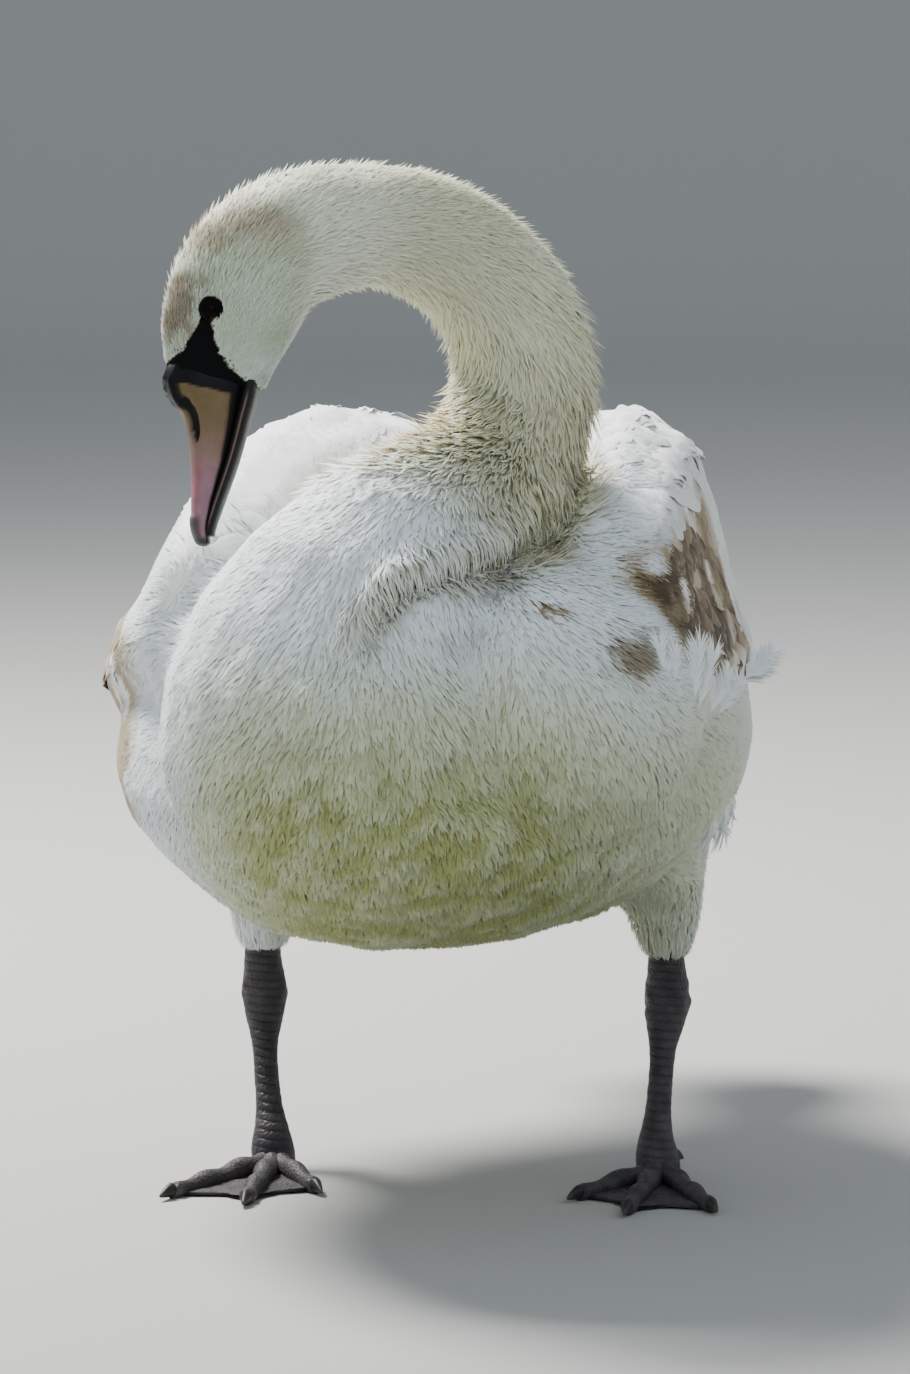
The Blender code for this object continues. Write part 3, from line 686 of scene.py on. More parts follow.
def markings(own):
    """The colour of skin and coat at points in the own frame, laid on in turn: white tinted blue as
    painted sky light, cream that on the neck also stands for painted light through the feathers,
    painted shade under the jaw, the stains with painted shade and bounce light in them, the smudges,
    painted shade on the lower sides of the head and the brown patches."""
    neck, share, _ = neck_weight(own)
    settings = bpy.context.scene.swan_coat
    cream = np.array(settings.cream)
    soft = noise(own, 0.045, 3)
    fine = noise(own, 0.013, 5)
    # Clean white, painted a little blue as sky light, with a faint creamy cast towards the back.
    colour = mix(settings.white, cream, 0.16 * soft * smooth(own[:, 1], -0.1, 0.05))
    # The neck is creamy, a warm tint that also stands for painted light shining through its feathers
    # and green bounce light, more so towards its base and on the head's underside.
    colour = mix(colour, cream, neck * (0.50 + 0.25 * fine) * smooth(share, 1.0, 0.66))
    _, height = face_place(own)
    # Painted shade on the throat side, just behind where the head meets the neck.
    jaw_shade = smooth(share, NECK_END + 0.035, NECK_END - 0.035)
    jaw_shade = jaw_shade * smooth(share, NECK_END - 0.22, NECK_END - 0.06)
    colour = mix(colour, cream * (0.97, 1.0, 0.93), 0.5 * neck * smooth(share, 1.0, 0.90))
    colour = mix(colour, (0.60, 0.59, 0.40), 0.55 * jaw_shade * neck * smooth(height, 0.02, -0.01))
    # A warm stain at the root of the neck, stronger over its fold, where it is partly painted shade.
    colour = mix(colour, (0.62, 0.55, 0.30), stain_and_fold_shade(own) * (0.35 + 0.35 * fine))
    # Breast and belly: olive, partly a real stain of water and weed and partly painted green bounce
    # light and shade from below, darkest in the hollows between the clumps as painted shade.
    hollow = smooth(relief(own), 0.0009, -0.0009)
    low = low_stain_and_painted_light(own) * (1 - neck)
    colour = mix(colour, cream * (0.93, 1.0, 0.86), 0.5 * smooth(low, 0.0, 0.5))
    colour = mix(colour, settings.olive, np.clip(low * (0.68 + 0.32 * hollow), 0, 0.94))
    colour = smudges(own, BODY_SMUDGES, colour)
    # Painted shade on the lower sides of the head, and then its smudges, which are mirrored to its
    # right side.
    left = unit(np.asarray(HEAD_LEFT))
    out = (own - HEAD_MIDDLE) @ left
    sides = smooth(share, NECK_END - 0.12, NECK_END + 0.01) * smooth(np.abs(out), 0.002, 0.014)
    sides = sides * (0.6 + 0.4 * fine) * smooth(height, -0.065, -0.030)
    colour = mix(colour, colour * (0.60, 0.66, 0.53), sides)
    head = smudges(own + (np.abs(out) - out)[:, None] * left, HEAD_SMUDGES, colour)
    colour = np.where((share > head_share(-0.3))[:, None], head, colour)
    brown = brown_patches(own)
    colour = mix(colour, (0.40, 0.31, 0.18), np.clip(1.7 * brown, 0, 1))
    return mix(colour, settings.brown, smooth(brown, 0.45, 1.0))


def brown_patches(own):
    """The young bird's brown feathers, on the lower edge of each folded wing: between two slanting
    lines on the left one, in a narrow band on the right one, both ragged."""
    x, y, z = own.T
    rough = noise(own, 0.016, 7)
    top = 0.346 - 0.06 * np.clip(-0.03 - y, 0, 1) + 0.02 * smooth(y, 0.0, 0.05)
    low = 0.272 - 0.10 * np.clip(y + 0.02, 0, 0.25)
    left = smooth(x, 0.085, 0.105) * smooth(z, top + 0.008, top - 0.012)
    left = left * smooth(z, low - 0.004, low + 0.004)
    ragged = y + 0.075 * (noise(own, 0.022, 75) - 0.5) + 0.5 * (z - 0.31)
    left = left * smooth(y, -0.160, -0.135) * smooth(ragged, 0.085, 0.015) * smooth(rough, 0.02, 0.30)
    left = left * (0.66 + 0.40 * noise(own, 0.007, 9))
    right = smooth(x, -0.136, -0.152) * smooth(z, 0.306, 0.294) * smooth(y, -0.155, -0.13)
    right = right * smooth(y, 0.30, 0.20) * smooth(rough, 0.15, 0.5)
    return np.clip(np.maximum(left, right * 0.55), 0, 1)


def bare_face(own):
    """1 on the bare black skin of the lores and round the eyes, 0 elsewhere."""
    behind, height = face_place(own)
    eye_level = face_place(eye_frame(1)[0][None])[1][0]
    at, above, below = np.asarray(LORES).T
    over = height - eye_level
    edge = 0.0011 * (noise(own, 0.0013, 13) - 0.5) * 2
    room_above = np.interp(behind, at, above) - over
    room_below = np.interp(behind, at, below) + over
    bare = smooth(np.minimum(room_above, room_below) + edge, -0.0004, 0.0004)
    for side in SIDES:
        centre, out, ahead, up = eye_frame(side)
        rel = own - centre
        gap = np.hypot(rel @ ahead, rel @ up)
        ring = smooth(gap + edge * 0.3, 0.0062, 0.0055)
        bare = np.maximum(bare, np.where(rel @ out > 0, ring, 0))
    return bare * (nearest_on_line(own)[0] > head_share(0.35))


# ---------------------------------------------------------------- the skin

SKIN = {}


def joined_flesh():
    """The solids of flesh in one mesh, with the fan of the tail drawn in to its root."""
    bm = bmesh.new()
    for name in FLESH:
        bm.from_mesh(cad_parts[name].data)
    bmesh.ops.remove_doubles(bm, verts=bm.verts, dist=1e-5)
    for place, size in FILLERS:
        matrix = Matrix.Translation(SHIFT + np.array(place)) @ Matrix.Diagonal((*size, 1.0))
        bmesh.ops.create_icosphere(bm, subdivisions=3, radius=1.0, matrix=matrix)
    mesh = bpy.data.meshes.new("flesh")
    bm.to_mesh(mesh)
    bm.free()
    points = mesh_points(mesh)
    root = max(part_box("tail")[0].y + TAIL_ROOT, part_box("trunk")[1].y)
    y = points[:, 1]
    points[:, 1] = np.where(y > root, root + TAIL_SHARE * (y - root), y)
    move_points(mesh, points)
    return link_object("flesh", mesh)


def coat_depth(own):
    """How deep the skin lies under the solids' surface: the depth of the body, the neck or the
    head, nothing at the bill and less behind."""
    neck, share, _ = neck_weight(own)
    settings = bpy.context.scene.swan_coat
    depth = settings.body_depth + (settings.neck_depth - settings.body_depth) * neck
    head = smooth(share, head_share(-0.25), head_share(0.35)) * (neck > 0.5)
    depth = depth + (settings.head_depth - depth) * head
    behind, _ = face_place(own)
    depth = depth * np.where(share > head_share(0.3), smooth(behind, 0.0, 0.012), 1.0)
    return np.where(own[:, 1] > 0.2, depth * 0.6, depth)


def vertex_places(bm):
    """The vertices' places in the own frame."""
    return np.array([v.co for v in bm.verts], float) - SHIFT


def make_skin_mesh():
    """One skin: the flesh melted into one surface and softened, moved inward by the depth
    of the coat, with finer cells on the head and along the fold of the neck."""
    flesh = joined_flesh()
    grow_out = flesh.modifiers.new("grow", "DISPLACE")
    grow_out.mid_level = 0.0
    grow_out.strength = SKIN_SWELL
    remesh = flesh.modifiers.new("remesh", "REMESH")
    remesh.mode = "VOXEL"
    remesh.voxel_size = SKIN_CELL
    soften = flesh.modifiers.new("soften", "SMOOTH")
    soften.factor = 0.5
    soften.iterations = 5
    mesh = evaluated_mesh(flesh)
    bpy.data.objects.remove(flesh)
    points, normals = mesh_points(mesh), mesh_points(mesh, "normal")
    move_points(mesh, points - normals * coat_depth(points - SHIFT)[:, None])
    bm = bmesh.new()
    bm.from_mesh(mesh)
    for number, reach in enumerate((0.085, 0.055)):
        places = vertex_places(bm)
        share, distance, _, _ = nearest_on_line(places)
        fine = (share > head_share(0.0)) & (distance < 0.06) & (face_place(places)[0] < reach)
        if number == 0:
            fine = fine | (crease_place(places)[0] < 0.020)
        edges = [e for e in bm.edges if fine[e.verts[0].index] and fine[e.verts[1].index]]
        bmesh.ops.subdivide_edges(bm, edges=edges, cuts=1, use_grid_fill=True)
        bm.verts.index_update()
        share, distance, _, _ = nearest_on_line(vertex_places(bm))
        head = (share > head_share(-0.05)) & (distance < 0.06)
        bmesh.ops.smooth_vert(
            bm, verts=[v for v, chosen in zip(bm.verts, head) if chosen], factor=0.5,
            use_axis_x=True, use_axis_y=True, use_axis_z=True,
        )
    bmesh.ops.triangulate(bm, faces=[f for f in bm.faces if len(f.verts) > 4])
    bm.to_mesh(mesh)
    bm.free()
    mesh.update()
    return mesh


def sculpt(points, normals):
    """Moves the skin along its normals. On the head: a rim round each eye that sinks to the
    eyeball, a brow over it and a bumpy black knob at the forehead. On the body: the fold of the
    neck with a lip over it, and the soft clumps of the coat."""
    own = points - SHIFT
    lift = np.zeros(len(own))
    for side in SIDES:
        centre, out, ahead, up = eye_frame(side)
        rel = own - centre
        gap = np.hypot(rel @ ahead, rel @ up)
        seen = rel @ out > -0.002
        rim = np.exp(-(((gap - 0.0066) / 0.0013) ** 2)) * 0.0007
        sink = smooth(gap, 0.0056, 0.0036) * 0.006
        brow = np.exp(-((rel @ up - 0.0090) / 0.0035) ** 2 - (rel @ ahead / 0.012) ** 2) * 0.0014
        lift = lift + np.where(seen, rim - sink + brow, 0)
    behind, height = face_place(own)
    knob = np.exp(-((behind - 0.002) / 0.0075) ** 2 - ((height - 0.024) / 0.008) ** 2)
    lift = lift + knob * (0.0016 + 0.0024 * noise(own, 0.0030, 17))
    bare = bare_face(own)
    lift = lift - 0.0006 * bare + 0.0004 * bare * (noise(own, 0.0013, 19) - 0.5)
    near = nearest_on_line(own)[0] > head_share(0.2)
    gap, share_in, _, over = crease_place(own)
    fold = -0.0085 * np.exp(-((gap / 0.0038) ** 2))
    lip = 0.0040 * np.exp(-(((gap - 0.009) / 0.008) ** 2)) * (over > 0)
    swell = np.clip(relief(own), -0.0022, 0.0022) * (1 - near)
    lift = lift * near + (fold + lip) * smooth(share_in, 0.0, 0.2) + swell
    return points + normals * lift[:, None]


def unwrap(obj):
    """Lays the skin out flat, for the maps of skin and coat."""
    obj.data.uv_layers.new(name="OFBake")
    bpy.ops.object.select_all(action="DESELECT")
    bpy.context.view_layer.objects.active = obj
    obj.select_set(True)
    bpy.ops.object.mode_set(mode="EDIT")
    bpy.ops.mesh.select_all(action="SELECT")
    bpy.ops.uv.smart_project(angle_limit=radians(66), island_margin=0.002)
    bpy.ops.object.mode_set(mode="OBJECT")
    obj.select_set(False)


def remember_skin(obj):
    """Keeps the skin's triangles, normals and map as arrays, to set feathers on, and how far each
    point lies from the solids of trunk and wings."""
    mesh = obj.data
    mesh.calc_loop_triangles()
    count = len(mesh.loop_triangles)
    corners = np.empty(count * 3, np.int32)
    loops = np.empty(count * 3, np.int32)
    mesh.loop_triangles.foreach_get("vertices", corners)
    mesh.loop_triangles.foreach_get("loops", loops)
    places = np.empty(len(mesh.loops) * 2, np.float32)
    mesh.uv_layers["OFBake"].data.foreach_get("uv", places)
    SKIN["object"] = obj
    SKIN["points"] = mesh_points(mesh)
    SKIN["normals"] = mesh_points(mesh, "normal")
    SKIN["corners"] = corners.reshape(-1, 3)
    SKIN["map"] = places.reshape(-1, 2)[loops].reshape(-1, 3, 2).astype(float)
    for name in ("trunk", "wing_left", "wing_right"):
        (found,) = nearest_places(SKIN["points"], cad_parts[name], ("ON_SURFACE", 0.0))
        SKIN[name] = np.linalg.norm(found - SKIN["points"], axis=1)


def nearest_places(points, target, *modes):
    """The places on the target nearest to the points, once for each mode of wrapping, which is
    its name and how far off the surface the places lie."""
    mesh = bpy.data.meshes.new("probe")
    mesh.vertices.add(points.size // 3)
    mesh.vertices.foreach_set("co", np.ascontiguousarray(points, np.float32).ravel())
    obj = link_object("probe", mesh)
    wrap = obj.modifiers.new("wrap", "SHRINKWRAP")
    wrap.target = target
    wrap.wrap_method = "NEAREST_SURFACEPOINT"
    found = []
    for mode, offset in modes:
        wrap.wrap_mode = mode
        wrap.offset = offset
        placed = evaluated_mesh(obj)
        found.append(mesh_points(placed))
        bpy.data.meshes.remove(placed)
    bpy.data.objects.remove(obj)
    bpy.data.meshes.remove(mesh)
    return found


def lay_down(points):
    """The nearest place on the skin to each point, and the skin's normal there. The normal is read
    as the step to a second surface that lies a centimetre outside."""
    flat, above = nearest_places(
        points, SKIN["object"], ("ON_SURFACE", 0.0), ("ABOVE_SURFACE", 0.01)
    )
    return flat.reshape(points.shape), unit(above - flat).reshape(points.shape)


def nearest_spots(points):
    """The place on the skin's map of the triangle nearest to each point."""
    corners = SKIN["points"][SKIN["corners"][:, 0]]
    return SKIN["map"][nearest_row(points, corners), 0]


# ---------------------------------------------------------------- the coat

# Roots tried for each cell of the skin, stations along a vane, how far the shading follows the
# skin under a feather, how far a feather's edge is shaded as if it faced outward, the side of its
# patch on the skin's map, and the most triangles in one piece.
TRIES = 2.4
VANE_STATIONS = 8
SOFTNESS = 0.72
EDGE_FACING = 0.35
PATCH = 0.003
MOST_TRIANGLES = 195000


def lie(points, normals):
    """The way the coat lies: from the bill over the head and down the neck, away from the root of
    the neck over the body towards the tail, and down the thighs."""
    own = points - SHIFT
    neck, _, forward = neck_weight(own)
    neck = neck[:, None]
    away = own - np.asarray(NECK_BASE)
    far = 1 - np.exp(-((np.linalg.norm(away, axis=-1, keepdims=True) / 0.10) ** 2))
    front = smooth(own[:, 1], 0.02, -0.12)[:, None]
    spread = unit(away) * (1.6 - 1.2 * far) + far * (np.array([0, 0.9, 0]) - front * [0, 0, 0.9])
    wing = smooth(np.abs(own[:, 0]), 0.085, 0.125) * smooth(own[:, 2], 0.22, 0.27)
    wing = wing * smooth(own[:, 1], 0.20, 0.02) * smooth(own[:, 1], -0.22, -0.15)
    spread = mix(spread, (0.0, 1.0, -0.45), wing)
    gap, share_in, over, _ = crease_place(own)
    folded = np.exp(-((gap / 0.022) ** 2)) * smooth(share_in, 0.02, 0.30)
    over = unit(over + np.array([0.35, 0.0, 0.7]))
    leg = smooth(own[:, 2], 0.165, 0.150) * smooth(np.abs(own[:, 0]), 0.055, 0.075)
    leg = leg * smooth(np.abs(own[:, 1] - 0.03), 0.075, 0.055)
    spread = mix(spread, (0.0, 0.15, -1.0), leg)
    way = -forward * neck + unit(spread) * (1 - neck)
    way = way * (1 - folded[:, None]) - over * folded[:, None]
    return unit(way - (way * normals).sum(-1, keepdims=True) * normals)


def cell_number(places, spacing):
    """One number for the cell, spacing wide, that each place lies in, counted from far outside so
    that none is negative."""
    cell = np.floor(places / spacing).astype(np.int64) + 4096
    return cell[:, 0] * 2**40 + cell[:, 1] * 2**20 + cell[:, 2]


def scatter(rng, spacing, chance):
    """Roots spread evenly over the skin, about spacing apart: the first of those that fall in a
    cell, kept with the chance that the rule gives at each place. Returns place, normal and place
    on the skin's map."""
    corners = SKIN["points"][SKIN["corners"]]
    edges = corners[:, 1:] - corners[:, :1]
    total = np.cumsum(np.linalg.norm(np.cross(edges[:, 0], edges[:, 1]), axis=1))
    count = int(total[-1] / 2 / spacing**2 * TRIES)
    pick = np.searchsorted(total, rng.random(count) * total[-1]).clip(0, len(total) - 1)
    a, b = rng.random(count), rng.random(count)
    fold = a + b > 1
    a, b = np.where(fold, 1 - a, a), np.where(fold, 1 - b, b)
    weight = np.column_stack([1 - a - b, a, b])[:, :, None]
    places = (corners[pick] * weight).sum(1)
    kept = np.flatnonzero(rng.random(count) < chance(places - SHIFT, SKIN["corners"][pick, 0]))
    _, first = np.unique(cell_number(places[kept], spacing), return_index=True)
    chosen = kept[np.sort(first)]
    normals = unit((SKIN["normals"][SKIN["corners"][pick[chosen]]] * weight[chosen]).sum(1))
    spots = (SKIN["map"][pick[chosen]] * weight[chosen]).sum(1)
    return places[chosen], normals, spots


def turned(way, normals, yaw):
    """Each way, turned about its normal by yaw."""
    yaw = np.asarray(yaw)[:, None]
    return way * np.cos(yaw) + np.cross(normals, way) * np.sin(yaw)


def grow(places, normals, length, stations, yaw):
    """Paths over the skin from each root: from every station a step along the lie of the coat,
    turned by yaw, and then down on the skin again. Returns points and normals, one row a root."""
    shares = np.linspace(0, 1, stations)
    path, facing = [places], [normals]
    for k in range(1, stations):
        way = turned(lie(path[-1], facing[-1]), facing[-1], yaw)
        step = (length * (shares[k] - shares[k - 1]))[:, None]
        point, normal = lay_down(path[-1] + way * step)
        path.append(point)
        facing.append(normal)
    return np.stack(path, 1), np.stack(facing, 1)


def clump(path, spacing, strength, share):
    """Draws the outer part of paths that root in the same cell together, to wet points."""
    spacing = np.broadcast_to(spacing, len(path))[:, None]
    _, group = np.unique(cell_number(path[:, 0], spacing), return_inverse=True)
    count = np.bincount(group).astype(float)
    pull = np.broadcast_to(strength, len(path))[:, None, None] * share[None, :, None] ** 1.5
    mean = np.zeros((len(count),) + path.shape[1:])
    np.add.at(mean, group, path)
    mean = mean / count[:, None, None]
    return path + (mean[group] - path) * pull


def frames_along(path, normals, rise, roll):
    """At every station of the paths: the middle, lifted by rise off the skin, and the ways across
    and outward, rolled about the path."""
    centre = path + normals * rise[:, :, None]
    tangent = unit(np.gradient(centre, axis=1))
    facing = unit(normals - (normals * tangent).sum(-1, keepdims=True) * tangent)
    across = np.cross(tangent, facing)
    turn = roll[:, None, None]
    rolled = across * np.cos(turn) + facing * np.sin(turn)
    return centre, rolled, facing * np.cos(turn) - across * np.sin(turn)


def even_parts(name, count, most):
    """Feathers from 0 to count in even parts of at most that many, each part with its name."""
    parts = np.array_split(np.arange(count), max(1, -(-count // most)))
    if len(parts) == 1:
        return [(name, parts[0])]
    return [(f"{name}_{number}", part) for number, part in enumerate(parts, 1)]


def feather_object(label, slot, finish, points, faces, tint, soft, below, flat):
    """One piece of the coat. soft holds the shading at each point, turned over at the corners
    that lie below, and flat the places on the skin's map."""
    starts, loops = faces
    obj = new_object(label, points.reshape(-1, 3), starts, loops, material(finish))
    set_colours(obj, tint.reshape(-1, 3))
    corner = soft.reshape(-1, 3)[loops]
    corner[below] = -corner[below]
    obj.data.normals_split_custom_set(corner)
    set_uv(obj, flat.reshape(-1, 2), "OFBake")
    return finish_piece(obj, slot)


def vanes(name, slot, path, normals, spots, width, thick, rise, outline, colours, roll, ring,
          most, camber):
    """Closed vanes along the paths. Each station is an arc across of two thirds of the ring's
    points over a flat underside: half the width times the outline, lifted by rise over the skin.
    colours is one colour for each root and station. The map "lie" holds how far each point lies
    across and along. Returns the pieces, each of at most most vanes."""
    count, stations, _ = path.shape
    share = np.linspace(0, 1, stations)
    centre, across, facing = frames_along(path, normals, rise, roll)
    half = width[:, None] * outline
    top = ring - ring // 3
    side = np.cos(np.linspace(0, pi, top))
    arc = np.sqrt(np.clip(1 - side**2, 0, 1)) * camber
    side = np.concatenate([side, np.linspace(-1, 1, ring - top + 2)[1:-1]])
    arc = np.concatenate([arc, np.zeros(ring - top)])
    body = thick[:, None] * np.minimum(1.0, half / np.maximum(width[:, None], 1e-9) + 0.15)
    across, facing = across[:, :, None], facing[:, :, None]
    rings = (
        centre[:, :, None]
        + across * (half[:, :, None] * side)[..., None]
        + facing * (body[:, :, None] * arc)[..., None]
    )
    down = ((share - 0.5) * PATCH)[:, None]
    flat = spots[:, None, None] + np.stack(np.broadcast_arrays(side * 0.5 * PATCH, down), -1)
    length = np.linalg.norm(np.diff(centre, axis=1), axis=-1).sum(1)
    bent = unit(facing * (EDGE_FACING + arc)[:, None] + across * side[:, None])
    soft = unit(normals[:, :, None] * SOFTNESS + bent * (1 - SOFTNESS))
    tint = np.repeat(colours[:, :, None], ring, 2)
    distance = length[:, None, None] * share[None, :, None]
    lie_map = np.stack(np.broadcast_arrays(half[:, :, None] * side, distance), -1)
    made = []
    for label, part in even_parts(name, count, most):
        faces = loft_faces(len(part), stations, ring)
        under = np.zeros((len(part), stations - 1, ring, 4), bool)
        under[:, :, top - 1 :] = True
        below = np.flatnonzero(under.ravel())
        obj = feather_object(
            label, slot, "vanes", rings[part], faces, tint[part], soft[part], below, flat[part]
        )
        set_uv(obj, lie_map[part].reshape(-1, 2), "lie")
        made.append(obj)
    return made


def blades(name, path, normals, spots, width, rise, outline, colours, roll,
           root_point=True, thick=0.00028, softness=SOFTNESS):
    """Slim closed blades along the paths: three-sided, pointed at the tip and, if root_point, at
    the root. The shading leans with the relief of the coat."""
    count, stations, _ = path.shape
    share = np.linspace(0, 1, stations)
    centre, across, facing = frames_along(path, normals, rise, roll)
    inner = slice(1 if root_point else 0, stations - 1)
    side, arc = np.array([1.0, 0.0, -1.0]), np.array([0.0, 1.0, 0.0])
    across, facing = across[:, inner, None], facing[:, inner, None]
    half = (width[:, None] * outline)[:, inner, None, None]
    rings = centre[:, inner, None] + across * half * side[:, None] + facing * (thick * arc[:, None])
    own = path[:, 0] - SHIFT
    level, step = relief(own), 0.0010
    slope = np.stack([relief(own + way) - level for way in np.eye(3) * step], -1) / step
    steep = np.linalg.norm(slope, axis=-1, keepdims=True)
    lean = unit(normals - (slope * np.minimum(1.8, 0.75 / np.maximum(steep, 1e-6)))[:, None])
    bent = unit(facing * (EDGE_FACING + arc[:, None]) + across * side[:, None])
    soft = unit(lean[:, inner, None] * softness + bent * (1 - softness))
    down = (share - 0.5) * PATCH
    place = np.stack(np.broadcast_arrays(side * (PATCH / 2), down[inner, None]), -1)
    ends = np.stack([np.zeros(stations), down], -1)

    def gather(ring_values, end_values):
        """The rings' values, then the tip's and, if it is a point, the root's."""
        parts = [ring_values.reshape(count, -1, ring_values.shape[-1]), end_values[:, -1:]]
        return np.concatenate(parts + ([end_values[:, :1]] if root_point else []), axis=1)

    points = gather(rings, centre)
    soft = gather(soft, lean)
    tint = gather(np.repeat(colours[:, inner][:, :, None], 3, 2), colours)
    flat = gather(spots[:, None, None] + place, spots[:, None] + ends)
    ring_count = points.shape[1] // 3
    each = 6 * (ring_count - 1) + (6 if root_point else 4)
    for label, part in even_parts(name, count, MOST_TRIANGLES // each):
        *faces, under = blade_faces(len(part), ring_count, root_point)
        feather_object(
            label, "feathers_white", "plumage", points[part], faces, tint[part], soft[part], under,
            flat[part],
        )


def shades(root, tip, share, rng, spread):
    """Colours from root to tip for each feather, each a little lighter or darker than the next."""
    value = (1 + spread * rng.standard_normal(len(root)))[:, None, None]
    return (root[:, None] + (tip - root)[:, None] * share[None, :, None]) * value


def on_wing(index, word):
    """Whether each of the skin's points lies nearer to that wing than to the trunk."""
    return SKIN[f"wing_{word}"][index] < SKIN["trunk"][index]


def free_of_wings(index):
    """Whether each of the skin's points lies off both wings."""
    return ~(on_wing(index, "left") | on_wing(index, "right"))


def make_neck_feathers(settings):
    """Pointed tufts down the neck, short under the head and shaggy towards its root, where their
    roots are darkened by a stain and by painted shade and they hang over the fold."""
    rng = np.random.default_rng(11)

    def chance(own, index):
        """Certain on the neck and over its fold, fading out below the head."""
        here, share, _ = neck_weight(own)
        return np.maximum(here * smooth(share, head_share(-0.05), head_share(-0.70)), ruff(own))

    places, normals, spots = scatter(rng, settings.neck_spacing, chance)
    count = len(places)
    own = places - SHIFT
    share = nearest_on_line(own)[0]
    shaggy = np.maximum(smooth(share, 0.72, 0.42), ruff(own))
    upper = smooth(share, head_share(-1.4), head_share(-0.1))
    length = settings.neck_length * (0.80 + 0.4 * rng.random(count)) * (0.62 + 0.58 * shaggy)
    length = length * (1 - 0.30 * upper)
    s = np.linspace(0, 1, 4)
    yaw = (0.16 + 0.12 * shaggy) * rng.standard_normal(count)
    path, facing = grow(places, normals, length, 4, yaw)
    path = clump(path, 0.0030 + 0.0026 * shaggy, 0.55 + 0.25 * shaggy, s)
    lift = settings.neck_depth * (0.72 + 0.40 * rng.random(count)) * (1 + 0.40 * shaggy)
    lift = lift * (1 - 0.45 * upper) * (1 + 0.7 * (rng.random(count) < 0.10))
    rise = -0.0012 + (lift + 0.0012)[:, None] * s[None] ** 1.15
    tip = markings(own)
    # Roots darkened by the stain, which over the fold also stands for painted shade between the
    # tufts.
    root = mix(tip * (0.93, 0.91, 0.80), COLOURS["stain"], stain_and_fold_shade(own))
    blades(
        "neck_feathers", path, facing, spots,
        0.00048 * (0.8 + 0.5 * rng.random(count)) * (1 + 0.4 * shaggy), rise,
        (0.75, 1.0, 0.66, 0.0), shades(root, tip, s, rng, 0.04),
        0.5 * rng.standard_normal(count), root_point=False,
    )


def make_body_feathers(settings):
    """Slim contour feathers over breast, belly and back, with finer barbs over them."""

    def chance(own, index):
        """Certain on the trunk and the top of the shoulders, none under the neck's tufts."""
        front = own[:, 1] < -0.075 + 0.02 * (noise(own, 0.02, 53) - 0.5)
        top = own[:, 2] > 0.358 + 0.02 * noise(own, 0.02, 55)
        bare = free_of_wings(index) | front | top
        return (1 - np.maximum(neck_weight(own)[0], ruff(own))) * bare

    spacing, size = settings.body_spacing, settings.body_length
    for name, seed, apart, longest, half, lift in (
        ("contour_feathers", 21, spacing, size, 0.0012, 0.72),
        ("breast_wisps", 22, spacing * 0.68, size * 0.62, 0.00036, 0.90),
    ):
        rng = np.random.default_rng(seed)
        places, normals, spots = scatter(rng, apart, chance)
        count = len(places)
        own = places - SHIFT
        s = np.linspace(0, 1, 3)
        low = low_stain_and_painted_light(own)
        length = longest * (0.75 + 0.5 * rng.random(count)) * (1 - 0.35 * low)
        thigh = smooth(own[:, 2], 0.175, 0.150) * smooth(np.abs(own[:, 0]), 0.06, 0.08)
        yaw = (0.09 + 0.16 * low) * rng.standard_normal(count)
        path, facing = grow(places, normals, length, 3, yaw)
        if name == "breast_wisps":
            path = clump(path, 0.0055, 0.06 + 0.40 * low + 0.5 * thigh, s)
        depth = settings.body_depth * lift * (0.80 + 0.20 * rng.random(count))
        depth = depth * (0.75 + 0.8 * thigh + 0.4 * low)
        rise = -0.0010 + (depth + 0.0010)[:, None] * s[None] ** (0.5 + 0.3 * low[:, None])
        tip = markings(own)
        root = tip * (0.97, 0.965, 0.93)
        blades(
            name, path, facing, spots, half * (0.8 + 0.4 * rng.random(count)),
            rise, (0.0, 1.0, 0.0), shades(root, tip, s, rng, 0.012),
            0.05 * rng.standard_normal(count), softness=0.92,
        )


def make_head_feathers(settings):
    """Very short blades that lie flat over the head, down to hairs beside the bare skin, some of
    them dark."""
    rng = np.random.default_rng(31)

    def chance(own, index):
        """Certain on the head, none on bare skin, with a ragged edge between the two."""
        share, distance, _, _ = nearest_on_line(own)
        here = smooth(share, head_share(-0.90), head_share(-0.30)) * (distance < 0.06)
        return here * (bare_face(own) < 0.10 + 0.85 * noise(own, 0.0009, 35))

    places, normals, spots = scatter(rng, settings.head_spacing, chance)
    count = len(places)
    own = places - SHIFT
    behind, _ = face_place(own)
    small = smooth(behind, 0.060, 0.012)
    length = settings.head_length * (0.75 + 0.5 * rng.random(count)) * (1 - 0.62 * small)
    s = np.linspace(0, 1, 3)
    path, facing = grow(places, normals, length, 3, 0.16 * rng.standard_normal(count))
    depth = (settings.head_depth * (0.75 + 0.75 * rng.random(count)) + 0.0003) * (1 - 0.45 * small)
    depth = depth * (1 + 1.3 * (1 - small) * (rng.random(count) < 0.10))
    rise = -0.0005 + (depth + 0.0005)[:, None] * s[None]
    ahead = own - lie(places, normals) * (0.0016 * rng.random(count))[:, None]
    dark = (bare_face(ahead) > 0.5) & (rng.random(count) < 0.35) & (behind < 0.030)
    path = path[:, :1] + (path - path[:, :1]) * np.where(dark, 0.6, 1.0)[:, None, None]
    tip = np.where(dark[:, None], COLOURS["bare"], markings(own))
    root = tip * (0.92, 0.90, 0.84)
    blades(
        "head_feathers", path, facing, spots,
        0.00060 * (0.8 + 0.5 * rng.random(count)) * (1 - 0.40 * small), rise, (0.0, 1.0, 0.0),
        shades(root, tip, s, rng, 0.055), 0.20 * rng.standard_normal(count), thick=0.00022,
    )


